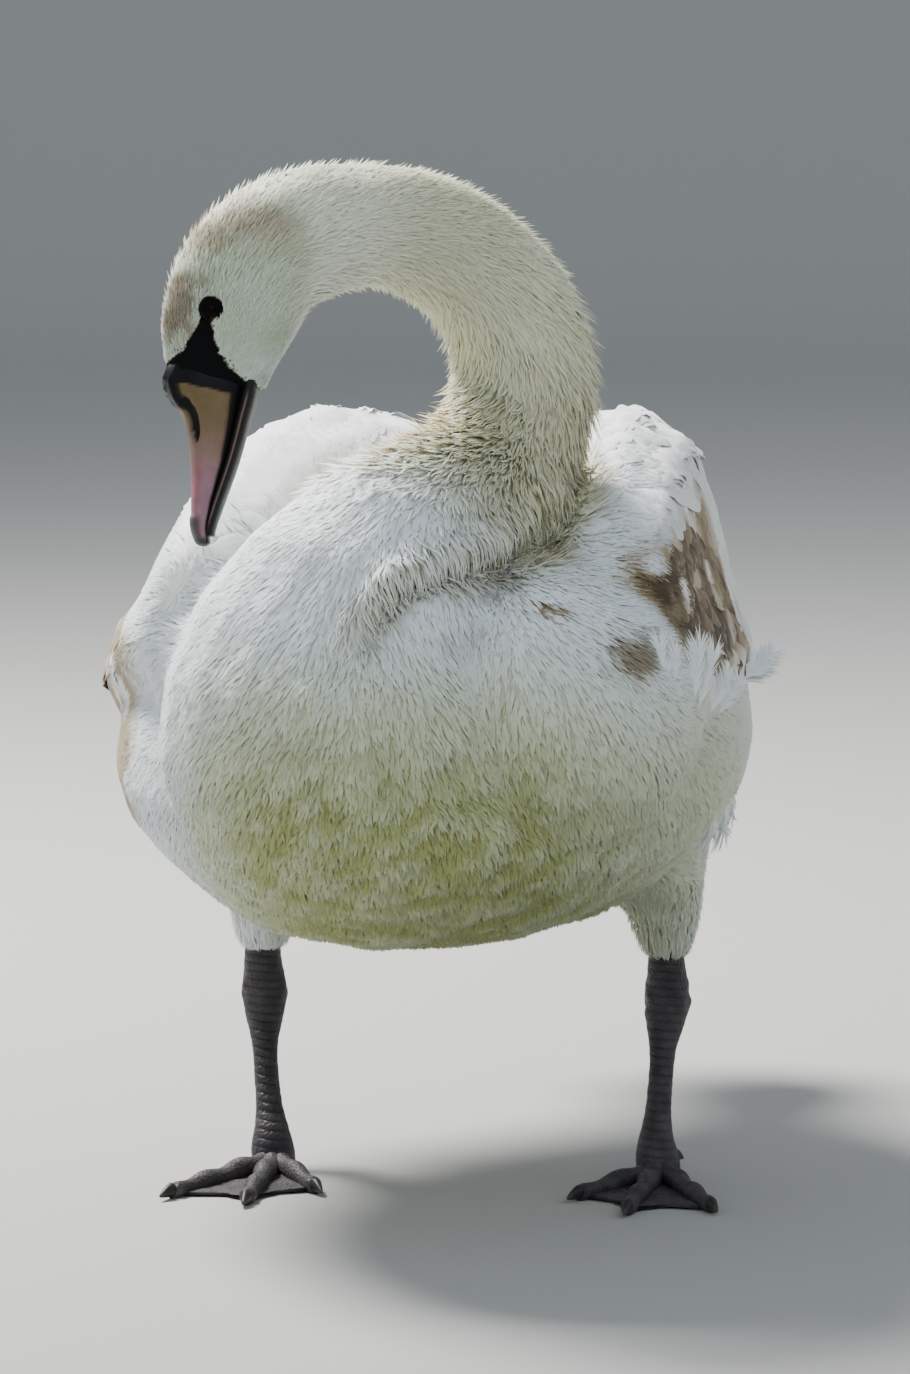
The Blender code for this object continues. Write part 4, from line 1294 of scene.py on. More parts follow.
def plume(rng, base, tip, facing, half, count, droop):
    """The barbs of one loose feather as paths: they leave both sides of a shaft that bends
    towards facing by droop, sweep forward, fall a little and end in a ragged edge. Returns the
    paths, their normals and the half widths."""
    base, facing = np.asarray(base, float), np.asarray(facing, float)
    along_it = np.asarray(tip, float) - base
    length = np.linalg.norm(along_it)
    way = along_it / length
    facing = unit(unit(facing) - (unit(facing) @ way) * way)
    side_way = np.cross(way, facing)
    at = np.sort(rng.random(count))
    side = np.where(np.arange(count) % 2 == 0, 1.0, -1.0)
    bend = facing * droop
    root = base + along_it * at[:, None] * 0.70 + bend * (at**2)[:, None]
    size = length * (0.55 - 0.20 * at) * (0.80 + 0.35 * rng.random(count))
    reach = half * (0.25 + 0.85 * rng.random(count)) * (1 - 0.25 * at)
    sweep = np.arcsin(np.clip(reach / size, 0, 0.85))
    out = way * np.cos(sweep)[:, None] + side_way * (side * np.sin(sweep))[:, None]
    s = np.linspace(0, 1, 4)
    path = root[:, None] + out[:, None] * (size[:, None] * s)[..., None]
    path = path + side_way * (0.25 * (side * reach)[:, None] * s**3)[..., None]
    fall = 0.35 * reach[:, None] * s**2 * (0.5 + rng.random(count))[:, None]
    path = path - facing * fall[..., None]
    shaft = base + along_it * s[:, None] * 0.85 + bend * (s**2)[:, None]
    path = np.concatenate([path, shaft[None]])
    width = np.concatenate([np.full(count, 0.00042), [0.0006]])
    return path, np.broadcast_to(facing, path.shape), width


# Loose feathers: base, tip, the way they face, half the width, the number of barbs and the bend.
PLUMES = (
    ((0.1275, -0.1810, 0.2720), (0.1200, -0.1700, 0.3040), (0.5, -0.85, 0.1), 0.0070, 110, 0.004),
    ((0.1310, -0.1760, 0.2700), (0.1265, -0.1620, 0.2980), (0.6, -0.80, 0.1), 0.0055, 90, 0.005),
    ((0.1370, -0.1560, 0.2660), (0.1380, -0.1380, 0.3010), (0.6, -0.80, 0.1), 0.0070, 120, 0.004),
    ((0.1395, -0.1480, 0.2640), (0.1440, -0.1270, 0.2960), (0.6, -0.80, 0.1), 0.0060, 100, 0.005),
    ((0.1430, -0.1250, 0.2600), (0.1480, -0.1000, 0.2800), (0.7, -0.70, 0.2), 0.0060, 90, 0.004),
    ((0.1440, -0.0950, 0.2560), (0.1510, -0.0650, 0.2720), (0.7, -0.70, 0.2), 0.0060, 90, 0.003),
    ((0.1395, 0.0480, 0.2570), (0.1530, 0.1060, 0.2700), (0.35, -0.8, 0.4), 0.0080, 130, 0.002),
    ((0.1395, 0.0500, 0.2560), (0.1520, 0.1030, 0.2620), (0.35, -0.8, 0.4), 0.0060, 90, -0.002),
    ((0.1340, -0.0380, 0.2140), (0.1280, 0.0000, 0.1760), (0.8, -0.6, 0.0), 0.0110, 150, 0.003),
    ((0.1370, -0.0100, 0.2160), (0.1310, 0.0250, 0.1730), (0.8, -0.6, 0.0), 0.0110, 150, 0.003),
    ((0.1390, 0.0200, 0.2190), (0.1310, 0.0500, 0.1790), (0.8, -0.6, 0.0), 0.0100, 130, 0.003),
)


def make_plumes(settings):
    """The ruffled feathers that stand over the left flank, the stray one behind it and the ones
    that hang behind the thigh."""
    rng = np.random.default_rng(71)
    rows = [plume(rng, *row) for row in PLUMES]
    path, facing, width = (np.concatenate(values) for values in zip(*rows))
    bases = np.array([row[0] for row in PLUMES]) + SHIFT
    spots = np.repeat(nearest_spots(bases), [len(row[0]) for row in rows], axis=0)
    count = len(path)
    # Painted light: the loose feathers are made lighter and warmer than the coat, as if the sun fell
    # on them.
    white = np.tile(np.array(settings.white) * (1.06, 1.03, 0.99), (count, 1))
    s = np.linspace(0, 1, 4)
    blades(
        "plumes", path + SHIFT, facing, spots, width, np.zeros((count, 4)),
        (0.8, 1.0, 0.7, 0.0), shades(white * 0.97, white, s, rng, 0.03),
        0.2 * rng.standard_normal(count), root_point=False,
    )


def vane_outline(count, rng, pointed):
    """Half width along a vane: a quick swell at the quill, nearly even sides and a rounded or
    pointed end, with small notches."""
    s = np.linspace(0, 1, VANE_STATIONS)[None]
    swell = np.clip(s / 0.22, 0, 1) ** 0.6 * 0.88 + 0.12
    end = np.clip((s - 0.55) / 0.45, 0, 1)
    close = (1 - end ** (2.6 - 1.4 * pointed[:, None])) ** (0.5 + 0.25 * pointed[:, None])
    notch = 1 - 0.06 * rng.random((count, VANE_STATIONS))
    return np.maximum(swell * close * notch, 0.03)


def make_coverts(word):
    """Coverts in rows like shingles over one folded wing, small in front and longer behind. Brown
    ones have a pale rim, and a vane that would bend round an edge is left out."""
    rng = np.random.default_rng(42 if word == "left" else 40)
    s = np.linspace(0, 1, VANE_STATIONS)

    def chance(own, index):
        """Certain on the wing, none in front of its shoulder."""
        return on_wing(index, word) * smooth(own[:, 1], -0.125, -0.095)

    sizes = ((0.0078, 0.024, 0.0062), (0.0125, 0.044, 0.0100))
    for layer, (spacing, size, half) in enumerate(sizes, 1):
        places, normals, spots = scatter(rng, spacing, chance)
        own = places - SHIFT
        ragged = rng.standard_normal(len(own))
        if layer == 1:
            keep = (own[:, 1] < 0.10 + 0.05 * ragged) | (own[:, 2] > 0.37)
        else:
            keep = own[:, 1] > -0.02 + 0.04 * ragged
        places, normals, spots, own = places[keep], normals[keep], spots[keep], own[keep]
        count = len(places)
        length = size * (0.8 + 0.4 * rng.random(count)) * (1 + 0.9 * smooth(own[:, 1], 0.0, 0.22))
        yaw = 0.10 * rng.standard_normal(count)
        path, facing = grow(places, normals, length, VANE_STATIONS, yaw)
        straight = (facing[:, :1] * facing).sum(-1).min(1) > 0.80
        path, facing, spots = path[straight], facing[straight], spots[straight]
        count = len(path)
        rise = -0.0010 + (0.0024 + 0.0007 * rng.random(count))[:, None] * s[None] ** 0.5
        # A point takes the marking from halfway to the middle of its vane, which gives the vane
        # a colour of its own.
        places = 0.5 * (path + path[:, VANE_STATIONS * 3 // 5][:, None]) - SHIFT
        tint = markings(places.reshape(-1, 3)).reshape(path.shape)
        brown = brown_patches(places.reshape(-1, 3)).reshape(count, -1, 1)
        tint = tint * (1 + 0.03 * rng.standard_normal((count, 1, 1)))
        tint = np.clip(tint * (1 + 0.55 * brown * (rng.random((count, 1, 1)) - 0.55)), 0, 1)
        rim = smooth(s, 0.80, 0.98)[None, :, None] * brown
        tint = tint + (np.array([0.62, 0.55, 0.44]) - tint) * rim * 0.6
        vanes(
            f"wing_{word}_coverts_{layer}", "feathers_white", path, facing, spots,
            half * (0.85 + 0.3 * rng.random(count)), np.full(count, 0.0006), rise,
            vane_outline(count, rng, np.full(count, 0.2)), tint,
            0.06 * rng.standard_normal(count), ring=6, most=1800, camber=0.6,
        )


def middle(y):
    """How far the trunk's middle lies to the side at each place along it."""
    return along(MIDDLE, y)[:, 0]


def make_primaries(word, settings):
    """One folded wing tip: nine long vanes that lie over each other down the side of the rump,
    spread over the height of their bundle and layered through its thickness."""
    side = 1 if word == "left" else -1
    node = f"primaries_{word}"
    rng = np.random.default_rng(51 + side)
    count = 9
    rank = np.linspace(0, 1, count)
    s = np.linspace(0, 1, VANE_STATIONS)
    start = 0.170 + 0.01 * rank
    end = 0.330 + 0.070 * (1 - rank)
    y = start[:, None] + (end - start)[:, None] * s[None]
    rows = along(PRIMARIES_LINE, np.clip(y.ravel(), 0.205, 0.402)).reshape(*y.shape, 4)
    lean = radians(20.0)
    down = np.array([side * sin(lean), 0.0, -cos(lean)])
    out = np.array([side * cos(lean), 0.0, sin(lean)])
    height = rows[..., 2] * (rank * 1.5 - 0.75)[:, None]
    layer = rows[..., 3] * (0.5 - rank[:, None]) * 0.9
    x = middle(y.ravel()).reshape(y.shape) + side * rows[..., 0]
    centre = np.stack([x, y, rows[..., 1]], -1)
    centre = centre + down * height[..., None] + out * layer[..., None]
    facing = np.broadcast_to(out, centre.shape)
    points = centre + SHIFT
    base = mix(np.array(settings.white) * 0.9, settings.brown, 0.25 + 0.4 * rng.random(count))
    tip = mix(base, settings.brown, 0.35 + 0.4 * rng.random(count))
    made = vanes(
        f"{node}_quills", "feathers_brown", points, facing, nearest_spots(points[:, 0]),
        np.full(count, 0.0098), np.full(count, 0.0011), np.zeros((count, VANE_STATIONS)),
        vane_outline(count, rng, np.full(count, 0.8)), shades(base, tip, s, rng, 0.05),
        np.zeros(count), ring=8, most=1500, camber=0.9,
    )
    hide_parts(node)


def make_tail(settings):
    """The fan of the tail, shorter towards its sides, and the coverts that hide its root above
    and below. Every second vane lies a little higher."""
    rng = np.random.default_rng(61)
    s = np.linspace(0, 1, VANE_STATIONS)
    for name, length, lift, half, number in (
        ("tail_feathers", 0.150, 0.0, 0.0125, 20),
        ("tail_coverts_upper", 0.095, 0.0075, 0.0095, 18),
        ("tail_coverts_lower", 0.110, -0.0085, 0.0100, 18),
    ):
        spread = np.linspace(-1, 1, number) * (0.98 + 0.02 * rng.random(number))
        angle = spread * radians(17.0)
        reach = length * (1 - 0.34 * np.abs(spread) ** 1.7)
        start = np.stack([spread * 0.040, np.full(number, 0.300), np.full(number, 0.255)], -1)
        way = np.stack([np.sin(angle), np.cos(angle), np.full(number, -0.145)], -1)
        centre = start[:, None] + way[:, None] * (reach[:, None] * s[None])[..., None]
        centre[..., 2] += lift * (1 - 0.75 * s[None]) - 0.12 * np.abs(centre[..., 0])
        centre[..., 2] += (0.0012 * (np.arange(number) % 2))[:, None]
        turn = 1 if lift >= 0 else -1
        facing = np.zeros_like(centre)
        facing[..., 2] = turn
        facing[..., 0] = turn * 0.12 * np.sign(centre[..., 0])
        points = centre + SHIFT
        tip = mix(markings(centre[:, -1]), settings.brown, 0.25 * rng.random(number))
        vanes(
            name, "feathers_white", points, unit(facing), nearest_spots(points[:, 0]),
            np.full(number, half), np.full(number, 0.0010), np.zeros((number, VANE_STATIONS)),
            vane_outline(number, rng, np.full(number, 0.35)), shades(tip * 0.9, tip, s, rng, 0.03),
            np.zeros(number), ring=8, most=1500, camber=0.8,
        )


# ---------------------------------------------------------------- bill and eyes


def surface_loft(name, rings, finish, colours):
    """One closed loft through rings of points in the own frame, fanned shut at both ends."""
    rings = np.asarray(rings)
    stations, ring, _ = rings.shape
    starts, loops = loft_faces(1, stations, ring)
    obj = new_object(name, rings.reshape(-1, 3) + SHIFT, starts, loops, material(finish))
    set_colours(obj, colours.reshape(-1, 3))
    face_outward(obj.data)
    return obj


def bill_sections(share, top, bottom, half_width, sides, square):
    """Sections of the bill: at every share a superellipse between top and bottom. Returns the
    points, and how far to the left and up each lies, from -1 to 1."""
    start, forward, left, up = bill_frame()
    angle = round_angles(sides)
    c, sn = np.cos(angle), np.sin(angle)
    c = np.sign(c) * np.abs(c) ** square
    sn = np.sign(sn) * np.abs(sn) ** square
    level = ((top + bottom) / 2)[:, None] + ((top - bottom) / 2)[:, None] * sn[None]
    wide = half_width[:, None] * c[None]
    forth = forward * (share * BILL_LENGTH)[:, None, None]
    return start + forth + left * wide[..., None] + up * level[..., None], c, sn


def make_upper_bill(settings):
    """The upper half of the bill: a ridge that dips to a broad nail, long nostrils beside the
    ridge, and a dark lip along the cutting edge."""
    sides = 72
    share = np.linspace(-0.03, 0.97, 90)
    culmen, edge, _, width = along(BILL_OUTLINE, np.clip(share, 0, 0.97)).T
    rings, c, sn = bill_sections(share, culmen, edge, width, sides, 0.88)
    _, forward, left, up = bill_frame()
    normal = left * c[:, None] + up * sn[:, None]
    s = share[:, None] * np.ones(sides)
    # Nostril: a long hollow on each flank of the ridge, close to it, with a low rim.
    hollow_at = np.hypot((s - 0.225 - 0.10 * (0.60 - sn)) / 0.165, (sn - 0.60) / 0.21)
    hollow = smooth(hollow_at, 1.0, 0.60)
    lift = -0.0022 * hollow + 0.0003 * np.exp(-(((hollow_at - 1.15) / 0.18) ** 2))
    # Lip along the cutting edge, the nail at the tip and the bumps at the root of the ridge.
    lift = lift + 0.0006 * np.exp(-(((sn + 0.62) / 0.22) ** 2))
    lift = lift + 0.0007 * smooth(s, 0.800, 0.835) * smooth(sn, -0.15, 0.15)
    knob = smooth(s, 0.185, 0.14) * smooth(sn, 0.62, 0.80)
    lift = lift + knob * (0.0008 + 0.0022 * noise(rings, 0.0032, 25))
    lift = lift + 0.0003 * (noise(rings, 0.006, 23) - 0.5)
    rings = rings + normal[None] * lift[..., None]
    # Smaller rings close the root, inside the head, and round off the tip.
    root, tip = rings[0].mean(0), rings[-1].mean(0)
    inner = [
        root + (rings[0] - root) * k - forward * d for k, d in ((0.80, 0.0090), (0.94, 0.0040))
    ]
    outer = [
        tip + (rings[-1] - tip) * k + forward * d
        for k, d in ((0.80, 0.0009), (0.5, 0.0016), (0.2, 0.0019))
    ]
    rings = np.concatenate([inner, rings, outer])
    s = np.concatenate([s[:1], s[:1], s, np.full((3, sides), 0.99)])
    hollow = np.concatenate([hollow[:1], hollow[:1], hollow, np.zeros((3, sides))])
    across = np.broadcast_to(sn, s.shape)
    # Colours: ochre at the root, darkened there as painted shade, brownish pink in the middle, mauve
    # pink beyond, a red streak.
    tint = mix(settings.root, settings.middle, smooth(s, 0.14, 0.46))
    tint = mix(tint, settings.outer, smooth(s, 0.38, 0.66))
    mottle = noise(rings, 0.006, 29)
    streak = smooth(s, 0.42, 0.55) * smooth(s, 0.86, 0.72) * np.exp(-(((across - 0.55) / 0.28) ** 2))
    tint = mix(tint, (0.30, 0.075, 0.085), 0.65 * streak * (0.6 + 0.4 * mottle))
    tint = tint * (0.90 + 0.2 * mottle)[..., None]
    # Black: the lip, the root, the nostrils and the bumps; the nail is nearly so.
    uneven = mottle - 0.5
    lip_dark = smooth(across + 0.06 * uneven, -0.50, -0.62)
    tip_dark = smooth(s + 0.03 * uneven, 0.80, 0.86) * smooth(across, -0.3, 0.2)
    tip_dark = np.maximum(tip_dark * 0.88, smooth(s, 0.93, 0.96))
    root_dark = smooth(s - 0.055 * np.clip(0.5 - across, 0, 1) + 0.010 * uneven, 0.012, 0.003)
    ridge_dark = smooth(s + 0.02 * uneven, 0.19, 0.15) * smooth(across, 0.60, 0.70)
    dark = np.max([lip_dark, root_dark, smooth(hollow, 0.15, 0.5), ridge_dark], axis=0)
    tint = mix(tint, (0.050, 0.050, 0.055), tip_dark)
    tint = mix(tint, COLOURS["bare"], dark)
    obj = surface_loft("bill_upper_horn", rings, "bill horn", tint)
    return finish_piece(obj, "bill_horn", "bill_upper")


def make_lower_bill():
    """The lower half: dark, with a thin pale pink line under the cutting edge."""
    share = np.linspace(-0.03, 0.93, 60)
    _, edge, chin, width = along(BILL_OUTLINE, np.clip(share, 0, 0.97)).T
    rings, _, sn = bill_sections(share, edge + 0.0035, chin, width * 0.80, 40, 0.9)
    s = share[:, None]
    line = np.exp(-(((sn - 0.05) / 0.07) ** 2)) * smooth(s, 0.02, 0.10) * smooth(s, 0.9, 0.8)
    tint = mix((0.014, 0.013, 0.014), (0.30, 0.20, 0.15), 0.85 * line)
    obj = surface_loft("bill_lower_horn", rings, "bill horn", tint)
    return finish_piece(obj, "bill_edge", "bill_lower")


# The rim of the lids: the angle from ahead towards the top, in degrees, and how far it reaches.
LID_REACH = (
    (0, 0.0066),
    (16, 0.0078),
    (35, 0.0066),
    (60, 0.0059),
    (90, 0.0058),
    (120, 0.0055),
    (150, 0.0053),
    (180, 0.0055),
    (206, 0.0063),
    (225, 0.0059),
    (270, 0.0056),
    (300, 0.0049),
    (330, 0.0046),
)
LID_CORNER = radians(16)
LID_WIDTH = 0.00115
LID_THICKNESS = 0.0008


def make_eyeball(side, settings):
    """A glossy ball that bulges a little in front, with a brown iris, a black pupil and a touch
    of red in the corner towards the bill."""
    centre, out, ahead, up = eye_frame(side)
    polar = np.linspace(0.02, pi - 0.02, 24)
    angle = round_angles(48)
    radius = settings.radius
    bulge = 1 + 0.07 * np.exp(-((polar / 0.5) ** 2))
    round_it = ahead * np.cos(angle)[:, None] + up * np.sin(angle)[:, None]
    ball = (
        centre
        + out * (np.cos(polar) * radius * bulge)[:, None, None]
        + round_it[None] * (np.sin(polar) * radius)[:, None, None]
    )
    degrees = np.degrees(polar)[:, None] * np.ones(len(angle))
    iris = smooth(degrees, 25, 29) * smooth(degrees, 60, 50)
    tint = mix((0.003, 0.002, 0.002), settings.iris, iris)
    corner = smooth(degrees, 36, 48) * smooth(np.cos(angle - LID_CORNER), 0.72, 0.90)
    tint = mix(tint, (0.060, 0.020, 0.014), corner)
    obj = surface_loft(f"eyeball_{SIDES[side]}", ball, "wet eye", tint)
    finish_piece(obj, "eye", f"eye_{SIDES[side]}")


def make_eyelid(side, settings):
    """A ring of black lid: an oval rim over the ball, drawn out to a corner ahead, with an oval
    section."""
    centre, out, ahead, up = eye_frame(side)
    angle = round_angles(56)
    turn, reach = np.asarray(LID_REACH).T
    rim = np.interp(np.degrees(angle), turn, reach, period=360) - 0.0009
    rim = (rim + np.roll(rim, 1) + np.roll(rim, -1)) / 3
    inner = np.minimum(rim, settings.radius * 0.97)
    depth = np.sqrt(np.clip((settings.radius * 1.02) ** 2 - inner**2, 0, None))
    depth = np.where(rim > 0.0056, depth + (rim - 0.0056) * 0.3, depth)
    x, y = rim * np.cos(angle), rim * np.sin(angle)
    path = centre + ahead * x[:, None] + up * y[:, None] + out * depth[:, None]
    tangent = unit(np.roll(path, -1, 0) - np.roll(path, 1, 0))
    radial = unit(path - centre - out * ((path - centre) @ out)[:, None])
    lift = unit(np.cross(tangent, radial))
    section = round_angles(10)
    ring = (
        path[:, None]
        + radial[:, None] * (np.cos(section) * LID_WIDTH)[None, :, None]
        + lift[:, None] * (np.sin(section) * LID_THICKNESS)[None, :, None]
    )
    n, m = ring.shape[:2]
    i, k = np.arange(n)[:, None] * m, np.arange(m)[None]
    after, near = (i + m) % (n * m), (k + 1) % m
    loops = np.stack([i + k, after + k, after + near, i + near], -1).ravel()
    lid = new_object(
        f"eyelid_{SIDES[side]}", ring.reshape(-1, 3) + SHIFT, np.arange(n * m) * 4, loops,
        material("bare black skin"),
    )
    face_outward(lid.data)
    warm = smooth(np.cos(angle - LID_CORNER), 0.90, 0.99)[:, None] * np.ones(m)
    set_colours(lid, mix(COLOURS["bare"], (0.05, 0.018, 0.012), warm).reshape(-1, 3))
    finish_piece(lid, "eye")


# ---------------------------------------------------------------- legs and feet


def leg_tint(points, seed):
    """Dark purplish grey, mottled."""
    return mix((0.030, 0.027, 0.031), (0.066, 0.058, 0.064), noise(points, 0.006, seed))


def make_shank(side):
    """The bare leg: ovals down the line of the leg, ringed by broad scutes in front, with a
    knobbly ankle. The grooves between the scutes are darker."""
    word = SIDES[side]
    stations, sides = 170, 48
    x, y, z, wide, deep = along(by_distance(SHANK_LINE), np.linspace(0, 1, stations)).T
    angle = round_angles(sides)
    sway = ANKLE_SWAY * np.sin(pi * np.clip(z / SWAY_HEIGHT, 0, 1))
    centre = np.stack([side * x - sway, y, z], -1)
    ring = np.stack([np.cos(angle), np.sin(angle), np.zeros(sides)], -1)
    shape = ring[None] * np.stack([wide, deep, np.zeros(stations)], -1)[:, None]
    points = centre[:, None] + shape
    front = smooth(-np.sin(angle), 0.1, 0.75)[None]
    band = (z[:, None] / 0.0044 + 0.25 * np.cos(angle)[None]) % 1.0
    groove = np.exp(-((np.minimum(band, 1 - band) / 0.12) ** 2))
    small = noise(points, 0.0022, 31) - 0.5
    ankle = np.exp(-(((z[:, None] - 0.091) / 0.011) ** 2))
    lumps = noise(points, 0.0060, 37) - 0.45
    lift = -0.00055 * groove * front * (1 - 0.6 * ankle) + 0.0004 * small * (1 - front)
    lift = lift + ankle * lumps * 0.0022
    points = points + unit(shape + 1e-9) * lift[..., None]
    tint = leg_tint(points, 41) * (1 - 0.45 * groove * front)[..., None]
    obj = surface_loft(f"shank_{word}_scaled", points, "leg scales", tint)
    return finish_piece(obj, "leg_skin", f"shank_{word}")


def toe_way(angle, side):
    """The way a toe points on the floor, at that angle outward from straight ahead."""
    turn = radians(angle - TOE_IN)
    return np.array([side * sin(turn), -cos(turn), 0.0])


def toe_tube(start, way, forth, wide, level, high, angle):
    """Oval rings along a toe or claw: forth along it, wide across it, and high about a level."""
    across = np.array([-way[1], way[0], 0.0])
    points = (
        start
        + way * forth[:, None, None]
        + across * (wide * np.cos(angle))[..., None]
        + UP * (level[:, None] + high * np.sin(angle))[..., None]
    )
    return points


def toe_rings(start, way, length, joints, radius, tip_radius, drop=0.0):
    """A toe that narrows to its claw and swells at each joint, ringed by fine scutes above, and
    flat below unless it drops."""
    s = np.linspace(0, 1, 70)
    angle = round_angles(24)
    size = (radius + (tip_radius - radius) * s) * (1 + 0.10 * np.cos(2 * pi * s * joints))
    size = size * np.sqrt(np.clip(1 - (np.clip(s - 0.93, 0, 1) / 0.0702) ** 2, 0.12, 1))
    band = (s * length / 0.0032) % 1.0
    groove = np.exp(-((np.minimum(band, 1 - band) / 0.15) ** 2))
    scutes = groove[:, None] * smooth(np.sin(angle), 0.0, 0.6)[None]
    reach = size[:, None] - 0.00035 * scutes
    points = toe_tube(start, way, length * s, reach, size * 0.94 - drop * s, reach, angle)
    if drop == 0.0:
        points[..., 2] = np.maximum(points[..., 2], FLOOR_GAP)
    return points, leg_tint(points, 43) * (1 - 0.35 * scutes)[..., None]


def join_pieces(name, pieces, slot, *nodes):
    """One object from several closed ones."""
    bm = bmesh.new()
    for piece in pieces:
        bm.from_mesh(piece.data)
    mesh = bpy.data.meshes.new(name)
    bm.to_mesh(mesh)
    bm.free()
    mesh.materials.append(pieces[0].data.materials[0])
    mesh.shade_smooth()
    for piece in pieces:
        bpy.data.objects.remove(piece)
    return finish_piece(link_object(name, mesh), slot, *nodes)


def make_web(side, hub):
    """The web between the toes: a thin wrinkled sheet from the hub to an edge that runs from tip
    to tip, drawn in between them and scalloped."""
    s = np.linspace(0.10, 1, 26)
    t = np.linspace(0, 2, 60)
    ways = np.array([toe_way(angle, side) for angle, _, _ in TOES])
    tips = hub + ways * (np.array([length for _, length, _ in TOES]) * 0.955)[:, None]
    low = np.clip(t.astype(int), 0, 1)
    share = t - low
    edge = tips[low] + (tips[low + 1] - tips[low]) * share[:, None]
    drawn = 1 - 0.40 * share * (1 - share) - 0.006 * np.sin(9 * pi * t)
    edge = hub + (edge - hub) * drawn[:, None]
    grid = hub + (edge - hub)[None] * s[:, None, None]
    fold = np.sin(pi * share)[None] * np.ones((len(s), 1))
    wrinkle = 0.00035 * np.sin(s[:, None] * 60 + 3 * np.cos(t[None] * 5))
    upper = 0.0030 - 0.0010 * fold * s[:, None] + wrinkle * fold
    points = np.concatenate([grid, grid[:, ::-1]], axis=1)
    points[..., 2] = np.concatenate([upper, np.full_like(upper, 0.0008)], axis=1)
    return surface_loft("web", points, "leg scales", leg_tint(points, 47) * 0.92)


def make_claw_piece(name, start, way, radius, drop, node):
    """A blunt claw that narrows and bends down to the floor, paler at its tip."""
    s = np.linspace(0, 1, 16)
    angle = round_angles(16)
    size = radius * (0.92 * (1 - s) ** 0.7 + 0.10)[:, None]
    points = toe_tube(start, way, CLAW_LENGTH * s, size * 0.8, -drop * s**1.5, size, angle)
    points[..., 2] = np.maximum(points[..., 2], FLOOR_GAP)
    pale = 0.5 * smooth(s, 0.5, 1.0)[:, None] * np.ones(len(angle))
    tint = mix((0.022, 0.020, 0.020), (0.10, 0.085, 0.075), pale)
    return finish_piece(surface_loft(name, points, "claw horn", tint), "claw_horn", node)


def make_foot(side):
    """Three webbed toes, the small hind toe and their claws."""
    word = SIDES[side]
    hub = np.array(FOOT_HUB) * (side, 1, 1)
    pieces = [make_web(side, hub)]
    for number, (angle, length, joints) in enumerate(TOES, 1):
        way = toe_way(angle, side)
        start = hub + way * 0.002
        points, tint = toe_rings(start, way, length, joints, TOE_RADIUS, TOE_TIP_RADIUS)
        pieces.append(surface_loft("toe", points, "leg scales", tint))
        tip = start + way * (length - 0.0004) + UP * 0.0046
        make_claw_piece(
            f"claw_{word}_{number}_horn", tip, way, TOE_TIP_RADIUS * 0.95, TOE_TIP_RADIUS * 0.45,
            f"claw_{word}_{number}",
        )
    back = toe_way(168, side)
    start = hub + back * 0.006 + UP * (0.0175 - 2 * TOE_TIP_RADIUS)
    points, tint = toe_rings(start, back, 0.018, 1, TOE_TIP_RADIUS, TOE_TIP_RADIUS * 0.8, 0.004)
    pieces.append(surface_loft("toe", points, "leg scales", tint))
    tip = start + back * 0.0178 + UP * (TOE_TIP_RADIUS - 0.004)
    make_claw_piece(
        f"claw_{word}_hind_horn", tip, back, TOE_TIP_RADIUS * 0.75, 0.004, f"claw_{word}_hind"
    )
    join_pieces(f"foot_{word}_scaled", pieces, "leg_skin", f"foot_{word}")


# ---------------------------------------------------------------- settings


def colour_setting(name, description, default):
    """A colour that a user can change."""
    return FloatVectorProperty(
        name=name, description=description, subtype="COLOR", default=default
    )


def distance_setting(name, description, default):
    """A distance that a user can change, in metres."""
    return FloatProperty(name=name, description=description, subtype="DISTANCE", default=default)


class SwanCoat(bpy.types.PropertyGroup):
    """Colours and sizes of the coat."""

    # White: tinted blue as painted sky light
    white: colour_setting("White", "Colour of a clean feather", COLOURS["white"])
    # Cream: a warm tint, which on the neck is also painted light through the feathers
    cream: colour_setting("Cream", "Warm shade on the neck", COLOURS["cream"])
    # Olive: a real stain on breast and belly, with painted green bounce light and shade in it
    olive: colour_setting("Olive", "Stain on breast and belly", COLOURS["olive"])
    brown: colour_setting("Brown", "A young bird's brown feathers", COLOURS["brown"])
    body_depth: distance_setting("Body depth", "Depth of the coat on the body", 0.0034)
    neck_depth: distance_setting("Neck depth", "Depth of the coat on the neck", 0.0050)
    head_depth: distance_setting("Head depth", "Depth of the coat on the head", 0.0014)
    neck_spacing: distance_setting("Neck spacing", "Distance between tufts on the neck", 0.0018)
    neck_length: distance_setting("Neck length", "Length of a tuft on the neck", 0.0150)
    body_spacing: distance_setting("Body spacing", "Distance between contour feathers", 0.0030)
    body_length: distance_setting("Body length", "Length of a contour feather", 0.0145)
    head_spacing: distance_setting("Head spacing", "Distance between feathers on the head", 0.0012)
    head_length: distance_setting("Head length", "Length of a feather on the head", 0.0075)


class SwanHead(bpy.types.PropertyGroup):
    """Colours of bill and eyes, and the size of the eyes."""

    # Bill root: ochre, darkened as painted shade
    root: colour_setting("Bill root", "Colour of the bill at its root", (0.140, 0.100, 0.048))
    middle: colour_setting("Bill middle", "Colour of the bill's middle", (0.215, 0.135, 0.105))
    outer: colour_setting("Bill end", "Colour of the bill's outer half", (0.27, 0.150, 0.185))
    iris: colour_setting("Iris", "Colour of the iris", (0.0045, 0.0022, 0.0016))
    radius: distance_setting("Eye radius", "Radius of the eyeball", 0.0066)


class SwanStage(bpy.types.PropertyGroup):
    """Floor, lights and lens."""

    floor: colour_setting("Floor", "Colour of the floor", (0.36, 0.36, 0.355))
    key: FloatProperty(
        name="Key light", description="Power of the main light", subtype="POWER", default=300.0
    )
    fill: FloatProperty(
        name="Fill light", description="Power of the fill light", subtype="POWER", default=20.0
    )
    lens: FloatProperty(name="Lens", description="Focal length in millimetres", default=183.9)
    resolution: IntProperty(
        name="Floor lines", description="Lines along the floor between its edges", default=8
    )


# ---------------------------------------------------------------- operators


